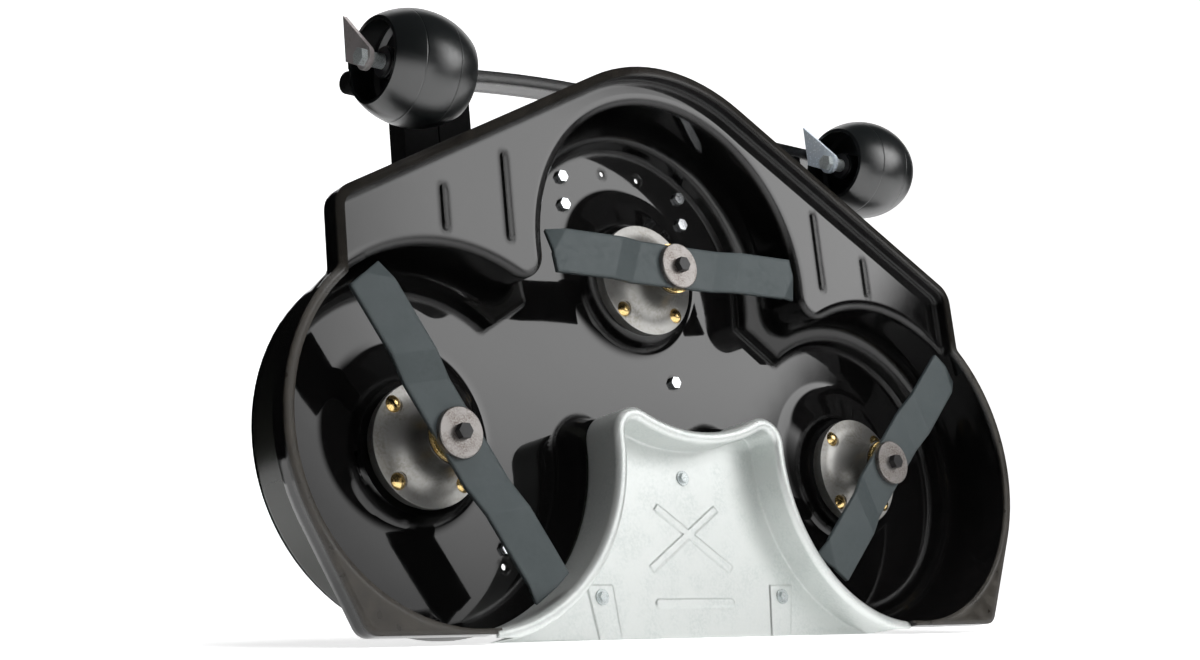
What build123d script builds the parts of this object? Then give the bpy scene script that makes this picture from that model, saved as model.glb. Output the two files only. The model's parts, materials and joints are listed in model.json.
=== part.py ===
"""Three-spindle mulching mower deck, standing on its rear edge.

Every piece is drawn with the underside facing +Z and the front of the deck
toward +Y. A depth is measured from the rim plane into the deck, so it runs
along -Z. One last placement stands the deck up and leans it back on its rails.
"""

import os
from math import atan2, cos, degrees, hypot, pi, radians, sin, sqrt, tan

from build123d import *

# Stance
LEAN = 8.5
FLOOR_GAP = 1.0

# Pressed shell
SHEET = 3.0
SIDE_U = 321.0
CENTRE_V = 213.0
CHAMBER_LAP = 2.38
RIM_W = 10.5
RETURN_DEPTH = 22.0
NOSE_REACH = 40.0
FRONT_REACH = 139.0
FRONT_FALL = 28.7
FRONT_CORNER_R = 28.0
NOTCH_R = 9.0
TAIL_ANGLE = 27.0
REAR_REACH = 5.0
REAR_CORNER_R = 18.0
SHELF_W = 17.0
TRAY_BACK_V = 100.0
LIP_R = 5.0
LIP_END = 120.0
CUSP_R = 30.0
RING_W = 86.0
RING_FILLET = 14.0
STEP_IN = 24.0
STEP_DRAFT = 4.0
ROOF_W = 102.0
PASSAGE_E = 60.0
RIB_WIDTH = 7.0
RIB_RISE = 2.5
RIB_BACK_V = 212.0
SHORT_RIB = (2.0, 262.0)
LONG_RIB = (83.5, 311.0)

# Rear tunnel, its island and the plug over it
TUNNEL_IN = 18.0
TUNNEL_GAP = 1.5
FIELD_REACH = 40.0
HORN_R = 30.0
ISLAND_GAP = 5.5
ISLAND_FLARE = 17.0
ISLAND_IN = 33.0
PLUG_SHEET = 2.0
PLUG_REACH = 8.0
PLUG_FACE_W = 6.0
PLUG_BEAD = 14.0
PLUG_BEAD_R = 6.2
PLUG_PANEL_W = 49.0
PLUG_SKIRT_W = 58.0
EMBOSS = 1.5
CROSS_STROKE = ((-48.0, -63.0), (-42.0, -57.0), (62.0, -125.0), (56.0, -132.0))
PAD_V = -146.0
PAD_TOP_U = (117.0, 152.0)
PAD_LOW_U = (111.0, 141.0)
EMBOSS_BAR_V = -165.5
EMBOSS_BAR = (116.0, 9.0)
PLUG_SCREWS = ((-133.6, -158.7), (133.6, -158.7), (0.0, -26.5))
SCREW_R = 3.0
SCREW_AF = 10.0
SCREW_FLANGE_R = 8.5
SCREW_HEAD = 5.0

# Spindles
SEAT_W = 88.0
SEAT_R = 72.0
SEAT_DRAFT = 5.0
FLANGE_R = 66.0
FLANGE_W = 73.0
FLANGE_T = 7.5
NOSE_W = 31.0
NOSE_HOUSING_R = 30.0
NECK_R = 29.0
NECK_W = 44.0
PILOT_R = 44.0
BARREL_R = 38.0
HOUSING_TOP_W = 122.0
BEARING_R = 26.0
BEARING_T = 15.0
SHOULDER_R = 22.0
SHAFT_R = 12.5
SHAFT_END = 4.0
THREAD_R = 10.0
RUN_GAP = 0.05
SPIN_GAP = 0.3
HOLE_GAP = 0.3
HOUSING_BOLT_AT = 39.6
CARRIAGE_R = 4.0
CARRIAGE_HEAD_R = 9.0
CARRIAGE_HEAD = 5.0
M8_AF = 13.0
M8_NUT = 6.5
M8_HEAD = 5.3
COLLAR_R = 29.0
COLLAR_T = 4.6
BLADE_W = 20.0
BLADE_T = 5.0
BLADE_DROP = 7.0
BLADE_TIP_GAP = 7.0
BLADE_SKEW = 7.0
BLADE_WIDTH = 50.0
BLADE_BEND = (60.0, 92.0)
BLADE_SLANT = 0.4
SAIL_START = 163.0
SAIL_REACH = 4.0
SAIL_TURN = 24.0
BLADE_ANGLES = (-57.3, 1.3, -135.0)
WASHER_R = 26.5
WASHER_T = 6.0
BLADE_BOLT_R = 5.0
BLADE_BOLT_AF = 15.0
BLADE_BOLT_HEAD = 8.0
BLADE_BOLT_LENGTH = 34.0

# Belt drive
PULLEY_R = 66.0
BELT_W = 139.0
GROOVE_R = 54.0
GROOVE_HALF = 3.0
GROOVE_SLOPE = 0.5
RIM_HALF = 11.0
WEB_HALF = 3.5
HUB_R = 22.0
HUB_LOW_W = 124.0
HUB_TOP_W = 152.0
SPINDLE_NUT_AF = 30.0
SPINDLE_NUT = 12.0
BELT_SEAT = 3.0
BELT_LAYER = 4.0
BELT_SIDE_GAP = 0.3
IDLER = (157.0, -30.0)
IDLER_R = 42.0
IDLER_STUD_R = 8.0
IDLER_PLATE_T = 5.0
IDLER_PLATE_R = 20.0
IDLER_BOLTS = ((52.0, 100.0), (213.5, -99.6))
KEEPER_AT = (-213.5, -99.6)
KEEPER_T = 4.0
KEEPER_V = -80.0
COVER_R = 88.0
COVER_T = 3.0
COVER_ROOM = 3.0
COVER_ROUND = 6.0
WINDOW_HALF = 19.0

# Frame on top of the deck
RAIL_U = 91.0
RAIL = 30.0
RAIL_WALL = 3.0
RAIL_W = 160.0
RAIL_REACH = 24.0
FOOT_BOLT_IN = 17.9968
FOOT_PITCH = 34.0
FOOT_T = 6.0
FOOT_EDGE = 13.0
FOOT_COLUMN = 16.0
REAR_FOOT_V = -130.0
REAR_FOOT_HALF = 22.0
HITCH_PIN_R = 8.0
HITCH_BACK = 22.0
HITCH_BAR_V = -90.0
PLAIN_HOLES = ((-27.0, 350.0), (27.0, 350.0), (-217.0, -119.0))
PLAIN_HOLE_R = 3.5

# Front carrier and rollers
TUBE_TALL = 14.0
TUBE_DEEP = 31.0
TUBE_WALL = 2.5
TUBE_W = 92.0
TUBE_V = 432.0
TUBE_BOW = 18.0
TUBE_STRAIGHT_U = 235.0
TUBE_END = 14.0
ARM_OUT = 9.0
ARM_IN = 99.0
ARM_SPLIT = 55.0
ARM_BACK_V = 100.0
ARM_GAP = 1.5
ARM_DEEP = 28.0
ARM_WALL = 3.0
ARM_HOLLOW_V = 190.0
STUB_END = 32.0
STUB_V = 400.0
STUB_R = 12.5
STUB_ROUND = 6.0
WHEEL_OUT = 23.0
AXLE_V = 387.0
AXLE_W = 20.0
ROLLER_WIDTH = 100.0
ROLLER_R = 62.0
ROLLER_END_R = 46.0
ROLLER_OPEN_R = 42.0
ROLLER_WEB = 12.0
ROLLER_HUB_R = 17.0
ROLLER_HUB_HALF = 36.0
BUSH_R = 12.0
BUSH_FLANGE_R = 15.5
BUSH_FLANGE = 2.5
BUSH_LENGTH = 24.0
SLEEVE_R = 8.0
AXLE_R = 5.0
AXLE_AF = 17.0
AXLE_HEAD = 7.0
EAR_T = 5.0
EAR_AT = 58.0
EAR_R = 13.0
EAR_BEND_W = 54.0
EAR_IN = 47.0
EAR_V = (396.0, 448.0)
STRAP_V = 421.0

# Derived places
LEFT = (-SIDE_U, 0.0)
CENTRE = (0.0, CENTRE_V)
RIGHT = (SIDE_U, 0.0)
SPINDLES = (("left", LEFT), ("centre", CENTRE), ("right", RIGHT))
CHAMBER_R = hypot(SIDE_U, CENTRE_V) / 2 + CHAMBER_LAP
SIDE_R = CHAMBER_R + RIM_W
NOSE_R = CHAMBER_R + NOSE_REACH
FRONT_U = SIDE_U + FRONT_REACH
REAR_V = -CHAMBER_R - REAR_REACH
STEP_R = CHAMBER_R - STEP_IN
TUNNEL_U = SIDE_U - TUNNEL_IN
FIELD_BACK_V = -CHAMBER_R - FIELD_REACH
HORN_D = CHAMBER_R + HORN_R
ISLAND_R = CHAMBER_R + ISLAND_GAP
ISLAND_U = SIDE_U - ISLAND_IN
PLUG_V = -CHAMBER_R - PLUG_REACH
BLADE_LONG = CHAMBER_R - BLADE_TIP_GAP
BLADE_SHORT = BLADE_LONG - BLADE_SKEW
ROOF_TOP_W = ROOF_W + SHEET
SEAT_TOP_W = SEAT_W + SHEET
ISLAND_W = PLUG_PANEL_W + PLUG_SHEET
ISLAND_TOP_W = ISLAND_W + SHEET
BLADE_BACK_W = BLADE_W + BLADE_T
SHAFT_TOP_W = HUB_TOP_W + SPINDLE_NUT + SHAFT_END
COVER_TOP_W = SHAFT_TOP_W + COVER_ROOM + COVER_T
RAIL_TOP_W = RAIL_W + RAIL
RAIL_REAR_V = PLUG_V + (RAIL_TOP_W - ISLAND_W) * tan(radians(LEAN))
SHELL_BACK_V = PLUG_V + (ROOF_TOP_W - ISLAND_W) * tan(radians(LEAN)) + FLOOR_GAP
FOOT_V = CENTRE_V + ((STEP_R - FOOT_BOLT_IN) ** 2 - RAIL_U**2) ** 0.5 - FOOT_PITCH / 2
FOOT_BOLT_V = (FOOT_V - FOOT_PITCH / 2, FOOT_V + FOOT_PITCH / 2)
RAIL_FRONT_V = FOOT_V + RAIL_REACH
FOOT_BOLTS = [(s * RAIL_U, v) for s in (-1, 1) for v in FOOT_BOLT_V]
M8_HOLE_R = CARRIAGE_R + HOLE_GAP
WHEEL_U = SIDE_U + WHEEL_OUT
TUBE_END_U = WHEEL_U + TUBE_END
STUB_END_U = WHEEL_U + STUB_END
ARM_OUT_U = SIDE_U - ARM_OUT
ARM_SPLIT_U = SIDE_U - ARM_SPLIT
ARM_IN_U = SIDE_U - ARM_IN


def slab(face, near_w, far_w):
    """A plate cut to a flat shape, between two depths."""
    return extrude(Pos(0, 0, -far_w) * face, amount=far_w - near_w, dir=(0, 0, 1))


def disc(at, radius, near_w, far_w):
    """A round plate or pin."""
    return slab(Pos(*at) * Circle(radius), near_w, far_w)


def hexagon(at, flats, near_w, far_w):
    """A hexagon nut or bolt head, by its width across flats."""
    return slab(Pos(*at) * RegularPolygon(flats / 2 / cos(pi / 6), 6), near_w, far_w)


def polygon(*points):
    """A flat shape with straight edges."""
    return make_face(Polyline(*points, close=True))


def block(u0, u1, v0, v1, near_w, far_w):
    """A rectangular bar."""
    return slab(polygon((u0, v0), (u1, v0), (u1, v1), (u0, v1)), near_w, far_w)


def turned(at, points):
    """A turned piece from its (radius, depth) profile."""
    profile = make_face(Polyline(*[(r, 0, -w) for r, w in points], close=True))
    return Pos(at[0], at[1], 0) * revolve(profile, Axis.Z)


def corners(shape, *points):
    """The corners of a flat shape that lie nearest the given points."""
    found = shape.vertices()
    return ShapeList(
        [min(found, key=lambda c: hypot(c.X - p[0], c.Y - p[1])) for p in points]
    )


def flip(point):
    """The same point on the other side of the deck."""
    return (-point[0], point[1])


def outline(inset=0.0):
    """The outer edge of the deck, moved inward by an inset."""
    nose_r = NOSE_R - inset
    half = FRONT_U - inset
    side_r = SIDE_R - inset
    rear = REAR_V + inset
    fall = radians(90 - FRONT_FALL)
    tail = radians(TAIL_ANGLE)
    front = (half, (CENTRE_V * sin(fall) + nose_r - half * cos(fall)) / sin(fall))
    tangent = (nose_r * cos(fall), CENTRE_V + nose_r * sin(fall))
    turn = atan2(sqrt(side_r**2 - (half - SIDE_U) ** 2), half - SIDE_U)
    notch = (half, side_r * sin(turn))
    leave = (SIDE_U + side_r * cos(tail), -side_r * sin(tail))
    back = ((SIDE_U * cos(tail) + side_r + rear * sin(tail)) / cos(tail), rear)
    sweep = degrees(turn) + TAIL_ANGLE
    edges = [
        CenterArc(CENTRE, nose_r, degrees(fall), 180 - 2 * degrees(fall)),
        CenterArc(RIGHT, side_r, -TAIL_ANGLE, sweep),
        CenterArc(LEFT, side_r, 180 - degrees(turn), sweep),
        Line(back, flip(back)),
    ]
    for a, b in ((tangent, front), (front, notch), (leave, back)):
        edges += [Line(a, b), Line(flip(a), flip(b))]
    shape = make_face(edges)
    shape = fillet(corners(shape, front, flip(front)), FRONT_CORNER_R - inset)
    shape = fillet(corners(shape, notch, flip(notch)), NOTCH_R + inset)
    return fillet(corners(shape, back, flip(back)), REAR_CORNER_R - inset)


def tray(inset):
    """The front ground inside the rim, run back into the chambers."""
    nose_r = NOSE_R - inset
    half = FRONT_U - inset
    fall = radians(90 - FRONT_FALL)
    front = (half, (CENTRE_V * sin(fall) + nose_r - half * cos(fall)) / sin(fall))
    tangent = (nose_r * cos(fall), CENTRE_V + nose_r * sin(fall))
    end = (half, TRAY_BACK_V)
    edges = [
        CenterArc(CENTRE, nose_r, degrees(fall), 180 - 2 * degrees(fall)),
        Line(end, flip(end)),
    ]
    for a, b in ((tangent, front), (front, end)):
        edges += [Line(a, b), Line(flip(a), flip(b))]
    shape = make_face(edges)
    return fillet(corners(shape, front, flip(front)), FRONT_CORNER_R - inset)


def middle(reach=0.0, skin=0.0):
    """The ground between the three spindles and back through the tunnel."""
    length = hypot(SIDE_U, CENTRE_V)
    du = reach * CENTRE_V / length
    dv = reach * SIDE_U / length
    side = [(SIDE_U + du, dv), (TUNNEL_U + skin, FIELD_BACK_V)]
    front = [(du, CENTRE_V + dv)] if reach else [CENTRE]
    points = [flip(p) for p in reversed(front + side)]
    return polygon(*points, *(front[0 if reach else 1 :] + side))


def chambers(radius, cusp):
    """The three blade chambers run together, their shelf tips rounded."""
    shape = middle(skin=radius - CHAMBER_R)
    for _, at in SPINDLES:
        shape = shape + Pos(*at) * Circle(radius)
    half = hypot(SIDE_U, CENTRE_V) / 2
    reach = sqrt(radius**2 - half**2)
    tip = (
        -SIDE_U / 2 - reach * CENTRE_V / (2 * half),
        CENTRE_V / 2 + reach * SIDE_U / (2 * half),
    )
    return fillet(corners(shape, tip, flip(tip)), cusp)


def field(radius):
    """The rear ground between the blade circles, with two rounded horns."""
    half = hypot(SIDE_U, CENTRE_V) / 2
    reach = sqrt(HORN_D**2 - half**2)
    horn = (
        -SIDE_U / 2 + reach * CENTRE_V / (2 * half),
        CENTRE_V / 2 - reach * SIDE_U / (2 * half),
    )
    side = degrees(atan2(horn[1], horn[0] + SIDE_U))
    front = degrees(atan2(horn[1] - CENTRE_V, horn[0]))
    horn_r = HORN_D - radius
    low = (-SIDE_U, -radius)
    end = (-SIDE_U, FIELD_BACK_V)
    return make_face(
        [
            Line(low, end),
            Line(end, flip(end)),
            Line(flip(end), flip(low)),
            CenterArc(LEFT, radius, -90, 90 + side),
            CenterArc(RIGHT, radius, 180 - side, 90 + side),
            CenterArc(horn, horn_r, front + 180, side - front),
            CenterArc(flip(horn), horn_r, -side, side - front),
            CenterArc(CENTRE, radius, front, -180 - 2 * front),
        ]
    )


def cusp_centre():
    """The middle of the rounded shelf tip on the left."""
    half = hypot(SIDE_U, CENTRE_V) / 2
    reach = sqrt((CHAMBER_R + CUSP_R) ** 2 - half**2)
    return (
        -SIDE_U / 2 - reach * CENTRE_V / (2 * half),
        CENTRE_V / 2 + reach * SIDE_U / (2 * half),
    )


def lip_cut(at, radius, side, lip, start, sweep):
    """The space a rounded edge leaves along an arc of the shelf."""
    far = radius + side * lip
    low = SHELF_W + lip
    middle_r = far - side * lip * cos(pi / 4)
    middle_w = low - lip * sin(pi / 4)
    spots = [(far, 0, -SHELF_W), (middle_r, 0, -middle_w), (radius, 0, -low)]
    line = [
        (radius, low),
        (radius - 2 * side, low),
        (radius - 2 * side, SHELF_W - 2),
        (far, SHELF_W - 2),
        (far, SHELF_W),
    ]
    profile = make_face(
        [ThreePointArc(*spots), Polyline(*[(r, 0, -w) for r, w in line])]
    )
    ring = revolve(profile, Axis.Z, revolution_arc=sweep)
    return Pos(*at) * Rot(0, 0, start) * ring


def shelf_lips(lip):
    """Rounded edges where the front shelves drop into the chambers."""
    tip = cusp_centre()
    from_left = degrees(atan2(tip[1], tip[0] + SIDE_U))
    from_centre = degrees(atan2(CENTRE_V - tip[1], -tip[0]))
    to_left = from_left - 180
    side_lip = lip_cut(LEFT, CHAMBER_R, 1, lip, from_left, LIP_END - from_left)
    tip_lip = lip_cut(tip, CUSP_R, -1, lip, to_left, from_centre - to_left)
    nose_lip = lip_cut(
        CENTRE, CHAMBER_R, 1, lip, -from_centre, 180 + 2 * from_centre
    )
    cuts = [nose_lip, side_lip, tip_lip]
    return cuts + [mirror(cut, Plane.YZ) for cut in (side_lip, tip_lip)]


def air(skin, lip):
    """The space under the deck, grown by a skin thickness."""
    start = 0 if skin else -5
    deep = slab(chambers(CHAMBER_R + skin, CUSP_R - skin), start, RING_W + skin)
    rounds = [
        e
        for e in deep.edges()
        if abs(e.center().Z + RING_W + skin) < 1e-6 and e.geom_type == GeomType.CIRCLE
    ]
    deep = fillet(ShapeList(rounds), RING_FILLET + skin)
    space = deep + slab(tray(RIM_W - skin), start, SHELF_W + skin)
    if lip:
        for cut in shelf_lips(lip):
            space += cut
    space += slab(middle(PASSAGE_E + skin, skin), RING_W - 1, ROOF_W + skin)
    for _, at in SPINDLES:
        step = STEP_R + skin
        space += turned(
            at,
            [
                (0, RING_W - 1),
                (step + STEP_DRAFT, RING_W - 1),
                (step + STEP_DRAFT, RING_W + skin),
                (step - STEP_DRAFT, ROOF_W + skin),
                (0, ROOF_W + skin),
            ],
        )
    for _, at in SPINDLES:
        space -= turned(
            at,
            [
                (0, SEAT_W + skin),
                (SEAT_R - skin, SEAT_W + skin),
                (SEAT_R + SEAT_DRAFT - skin, ROOF_TOP_W + 1),
                (0, ROOF_TOP_W + 1),
            ],
        )
    island = loft(
        [
            Pos(0, 0, -ISLAND_W - skin) * field(ISLAND_R + skin),
            Pos(0, 0, -ROOF_TOP_W - 1) * field(ISLAND_R + skin - ISLAND_FLARE),
        ],
        ruled=True,
    )
    half = ISLAND_U - skin
    island &= block(-half, half, FIELD_BACK_V - 5, CENTRE_V, 0, ROOF_TOP_W + 10)
    return space - island


def deck_shell():
    """The pressed deck: rim, shelves, chambers, roof and rear island."""
    shell = air(SHEET, 0) - air(0, LIP_R)
    shell -= block(-FRONT_U, FRONT_U, 2 * REAR_V, SHELL_BACK_V, -20, ROOF_TOP_W + 20)
    hollow = chambers(CHAMBER_R, CUSP_R) + tray(RIM_W)
    rim = slab(outline() - hollow, 0, SHEET)
    rim += slab(outline() - outline(SHEET) - middle(), 0, RETURN_DEPTH)
    shell += rim
    for side in (-1, 1):
        for inward, v in (SHORT_RIB, LONG_RIB):
            centre_v = (RIB_BACK_V + v) / 2
            bar = SlotOverall(v - RIB_BACK_V, RIB_WIDTH, rotation=90)
            bar = Pos(side * (SIDE_U - inward), centre_v) * bar
            shell += slab(bar, SHELF_W - RIB_RISE, SHELF_W + SHEET / 2)
    for _, at in SPINDLES:
        shell -= disc(at, PILOT_R + HOLE_GAP, SEAT_W - 5, ROOF_TOP_W)
        for spot in bolt_spots(at):
            shell -= disc(spot, M8_HOLE_R, SEAT_W - 5, ROOF_TOP_W)
    for spot in [*FOOT_BOLTS, *IDLER_BOLTS, KEEPER_AT]:
        shell -= disc(spot, M8_HOLE_R, ROOF_W - 5, ROOF_TOP_W + 5)
    for spot in PLAIN_HOLES:
        shell -= disc(spot, PLAIN_HOLE_R, RING_W - 5, ROOF_TOP_W + 5)
    for spot in PLUG_SCREWS:
        shell -= disc(spot, SCREW_R + HOLE_GAP, ISLAND_W - 5, ISLAND_TOP_W + 5)
    return shell


def bolt_spots(at):
    """The four flange bolts of one spindle."""
    step = HOUSING_BOLT_AT
    return [(at[0] + a * step, at[1] + b * step) for a in (-1, 1) for b in (-1, 1)]


def mulch_plug():
    """The pressed plug: rounded bead, sunk panel, embossed cross and bar."""
    bead_r = CHAMBER_R + PLUG_BEAD
    body = slab(field(CHAMBER_R), PLUG_FACE_W, PLUG_SKIRT_W)
    body -= slab(field(bead_r), -5, PLUG_PANEL_W)
    crown = [
        e
        for e in body.edges()
        if abs(e.center().Z + PLUG_FACE_W) < 1e-6 and e.geom_type == GeomType.CIRCLE
    ]
    body = fillet(ShapeList(crown), PLUG_BEAD_R)
    wall = PLUG_SHEET
    hollow = slab(field(CHAMBER_R + wall), PLUG_FACE_W + 2 * wall, PLUG_SKIRT_W + 5)
    hollow -= slab(field(bead_r - wall), 0, PLUG_PANEL_W + wall)
    body -= hollow
    raised = PLUG_PANEL_W - EMBOSS
    for side in (-1, 1):
        stroke = polygon(*CROSS_STROKE)
        body += slab(mirrored(stroke, side), raised, PLUG_PANEL_W + wall)
        (in_u, out_u), (low_in_u, low_out_u) = PAD_TOP_U, PAD_LOW_U
        pad = polygon(
            (-out_u, PAD_V), (-in_u, PAD_V), (-low_in_u, PLUG_V), (-low_out_u, PLUG_V)
        )
        body += slab(mirrored(pad, side), raised, PLUG_PANEL_W + wall)
    bar = Pos(0, EMBOSS_BAR_V) * SlotOverall(*EMBOSS_BAR)
    body += slab(bar, raised, PLUG_PANEL_W + wall)
    half = TUNNEL_U - TUNNEL_GAP
    body &= block(-half, half, PLUG_V, CENTRE_V, 0, ROOF_W)
    for spot in PLUG_SCREWS:
        body -= disc(spot, SCREW_R + HOLE_GAP, 0, ROOF_W)
    return body


def mirrored(face, side):
    """A flat shape, turned over to the other side where the side is positive."""
    return mirror(face, Plane.YZ) if side > 0 else face


def plug_screws():
    """Hexagon flange screws that hold the plug to the island."""
    parts = []
    for u, v in PLUG_SCREWS:
        seat = PLUG_PANEL_W - (EMBOSS if v < PAD_V else 0)
        screw = hexagon((u, v), SCREW_AF, seat - SCREW_HEAD, seat - 1)
        screw += disc((u, v), SCREW_FLANGE_R, seat - 1.5, seat)
        parts.append(screw + disc((u, v), SCREW_R, seat - 1, ISLAND_TOP_W + 8))
    return parts


def housing(at):
    """One trumpet-shaped spindle housing with two bearing seats."""
    bore = BEARING_R + RUN_GAP
    low = NOSE_W + 2 + BEARING_T
    high = HOUSING_TOP_W - 1 - BEARING_T
    rise = FLANGE_W - NECK_W
    arc_mid = (NECK_R + rise * (1 - cos(pi / 4)), NECK_W + rise * sin(pi / 4))
    start = (NECK_R, NECK_W)
    end = (NECK_R + rise, FLANGE_W)
    line = [
        end,
        (FLANGE_R, FLANGE_W),
        (FLANGE_R, FLANGE_W + FLANGE_T),
        (FLANGE_R - 2.5, FLANGE_W + FLANGE_T),
        (FLANGE_R - 2.5, SEAT_W),
        (PILOT_R, SEAT_W),
        (PILOT_R, SEAT_TOP_W + 2),
        (BARREL_R, SEAT_TOP_W + 2),
        (BARREL_R, HOUSING_TOP_W),
        (bore, HOUSING_TOP_W),
        (bore, high),
        (SHOULDER_R, high),
        (SHOULDER_R, low),
        (bore, low),
        (bore, NOSE_W),
        (NOSE_HOUSING_R, NOSE_W),
        start,
    ]
    spots = [(p[0], 0, -p[1]) for p in (start, arc_mid, end)]
    profile = make_face(
        [ThreePointArc(*spots), Polyline(*[(r, 0, -w) for r, w in line])]
    )
    body = Pos(*at) * revolve(profile, Axis.Z)
    for spot in bolt_spots(at):
        body -= disc(spot, M8_HOLE_R, FLANGE_W - 20, SEAT_W + 1)
        body -= disc(spot, CARRIAGE_HEAD_R + 1, FLANGE_W - 20, FLANGE_W)
    return body


def bearings(at):
    """The two ball bearings of one spindle, each a plain ring."""
    inner = SHAFT_R + SPIN_GAP
    low = NOSE_W + 2
    high = HOUSING_TOP_W - 1 - BEARING_T
    return [
        disc(at, BEARING_R, w, w + BEARING_T) - disc(at, inner, w, w + BEARING_T)
        for w in (low, high)
    ]


def housing_bolts():
    """Dome-headed bolts through the housing flanges and the deck."""
    parts = []
    crown = (CARRIAGE_HEAD_R**2 + CARRIAGE_HEAD**2) / (2 * CARRIAGE_HEAD)
    for _, at in SPINDLES:
        for u, v in bolt_spots(at):
            ball = Pos(u, v, -FLANGE_W + CARRIAGE_HEAD - crown) * Sphere(crown)
            head = ball & disc((u, v), CARRIAGE_HEAD_R + 1, FLANGE_W - 9, FLANGE_W)
            shank = disc((u, v), CARRIAGE_R, FLANGE_W - 1, SEAT_TOP_W + M8_NUT + 3)
            parts.append(head + shank)
    return parts


def housing_nuts():
    """Nuts on top of the deck for the housing bolts."""
    parts = []
    for _, at in SPINDLES:
        for spot in bolt_spots(at):
            nut = hexagon(spot, M8_AF, SEAT_TOP_W, SEAT_TOP_W + M8_NUT)
            hole = disc(spot, CARRIAGE_R + RUN_GAP, SEAT_TOP_W, SEAT_TOP_W + M8_NUT)
            parts.append(nut - hole)
    return parts


def shaft(at):
    """Spindle shaft: plain journal, tapped foot and threaded top."""
    tap = BLADE_BOLT_R + RUN_GAP
    depth = BLADE_W + BLADE_BOLT_LENGTH
    return turned(
        at,
        [
            (tap, BLADE_BACK_W),
            (SHAFT_R, BLADE_BACK_W),
            (SHAFT_R, HUB_TOP_W),
            (THREAD_R, HUB_TOP_W),
            (THREAD_R, SHAFT_TOP_W),
            (0, SHAFT_TOP_W),
            (0, depth),
            (tap, depth),
        ],
    )


def collar(at):
    """The collar between blade and housing."""
    span = (BLADE_BACK_W, BLADE_BACK_W + COLLAR_T)
    return disc(at, COLLAR_R, *span) - disc(at, SHAFT_R + RUN_GAP, *span)


def blade(at, angle):
    """A joggled mulching blade with slanted tips and turned-up sails."""
    first, last = BLADE_BEND
    far = BLADE_LONG + 20
    tip_w = BLADE_W - BLADE_DROP
    near = [
        (-far, tip_w),
        (-last, tip_w),
        (-first, BLADE_W),
        (first, BLADE_W),
        (last, tip_w),
        (far, tip_w),
    ]
    half = BLADE_WIDTH / 2
    lean = BLADE_SLANT * half
    section = near + [(s, w + BLADE_T) for s, w in reversed(near)]
    profile = make_face(
        Polyline(*[(s - lean, -half, -w) for s, w in section], close=True)
    )
    step = hypot(2 * lean, 2 * half)
    strip = extrude(profile, amount=step, dir=(2 * lean / step, 2 * half / step, 0))
    plan = polygon(
        (BLADE_LONG, -half),
        (BLADE_SHORT, half),
        (-BLADE_LONG, half),
        (-BLADE_SHORT, -half),
    )
    body = strip & slab(plan, 0, 60)
    start = (SAIL_START, -half)
    tip = BLADE_LONG + (BLADE_SHORT - BLADE_LONG) * (SAIL_REACH + half) / BLADE_WIDTH
    end = (tip, SAIL_REACH)
    corner = polygon(start, (BLADE_LONG, -half), end)
    crease = Axis((*start, -tip_w), (end[0] - start[0], end[1] - start[1], 0))
    wing = slab(corner, tip_w, tip_w + BLADE_T).rotate(crease, SAIL_TURN)
    for turn in (0, 180):
        body -= Rot(0, 0, turn) * slab(corner, 0, 60)
        body += Rot(0, 0, turn) * wing
    body -= disc((0, 0), BLADE_BOLT_R + RUN_GAP, 0, 60)
    return Pos(*at) * Rot(0, 0, angle) * body


def washer(at):
    """The thick clamp washer over the blade."""
    span = (BLADE_W - WASHER_T, BLADE_W)
    body = disc(at, WASHER_R, *span) - disc(at, BLADE_BOLT_R + RUN_GAP, *span)
    rims = [
        e
        for e in body.edges()
        if abs(e.center().Z + span[0]) < 1e-6 and e.radius > BLADE_BOLT_R + 5
    ]
    return chamfer(ShapeList(rims), 1.0)


def blade_bolt(at):
    """The hexagon bolt that holds washer and blade to the shaft."""
    seat = BLADE_W - WASHER_T
    head = hexagon(at, BLADE_BOLT_AF, seat - BLADE_BOLT_HEAD, seat)
    return head + disc(at, BLADE_BOLT_R, seat - 1, BLADE_W + BLADE_BOLT_LENGTH - 2)


def grooved(at, bore, rim_r, groove_r, hub_r):
    """A V-groove pulley with a thin web."""
    spread = GROOVE_HALF + GROOVE_SLOPE * (rim_r - groove_r)
    inner = groove_r - 8
    one = [
        (bore, HUB_LOW_W - BELT_W),
        (hub_r, HUB_LOW_W - BELT_W),
        (hub_r, -WEB_HALF),
        (inner, -WEB_HALF),
        (inner, -RIM_HALF),
        (rim_r, -RIM_HALF),
        (rim_r, -spread),
        (groove_r, -GROOVE_HALF),
    ]
    two = [
        (groove_r, GROOVE_HALF),
        (rim_r, spread),
        (rim_r, RIM_HALF),
        (inner, RIM_HALF),
        (inner, WEB_HALF),
        (hub_r, WEB_HALF),
        (hub_r, HUB_TOP_W - BELT_W),
        (bore, HUB_TOP_W - BELT_W),
    ]
    return turned(at, [(r, BELT_W + d) for r, d in one + two])


def pulley(at):
    """The belt pulley of one spindle."""
    return grooved(at, SHAFT_R + RUN_GAP, PULLEY_R, GROOVE_R, HUB_R)


def spindle_nut(at):
    """The nut on the shaft's threaded top."""
    span = (HUB_TOP_W, HUB_TOP_W + SPINDLE_NUT)
    return hexagon(at, SPINDLE_NUT_AF, *span) - disc(at, THREAD_R + RUN_GAP, *span)


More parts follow.
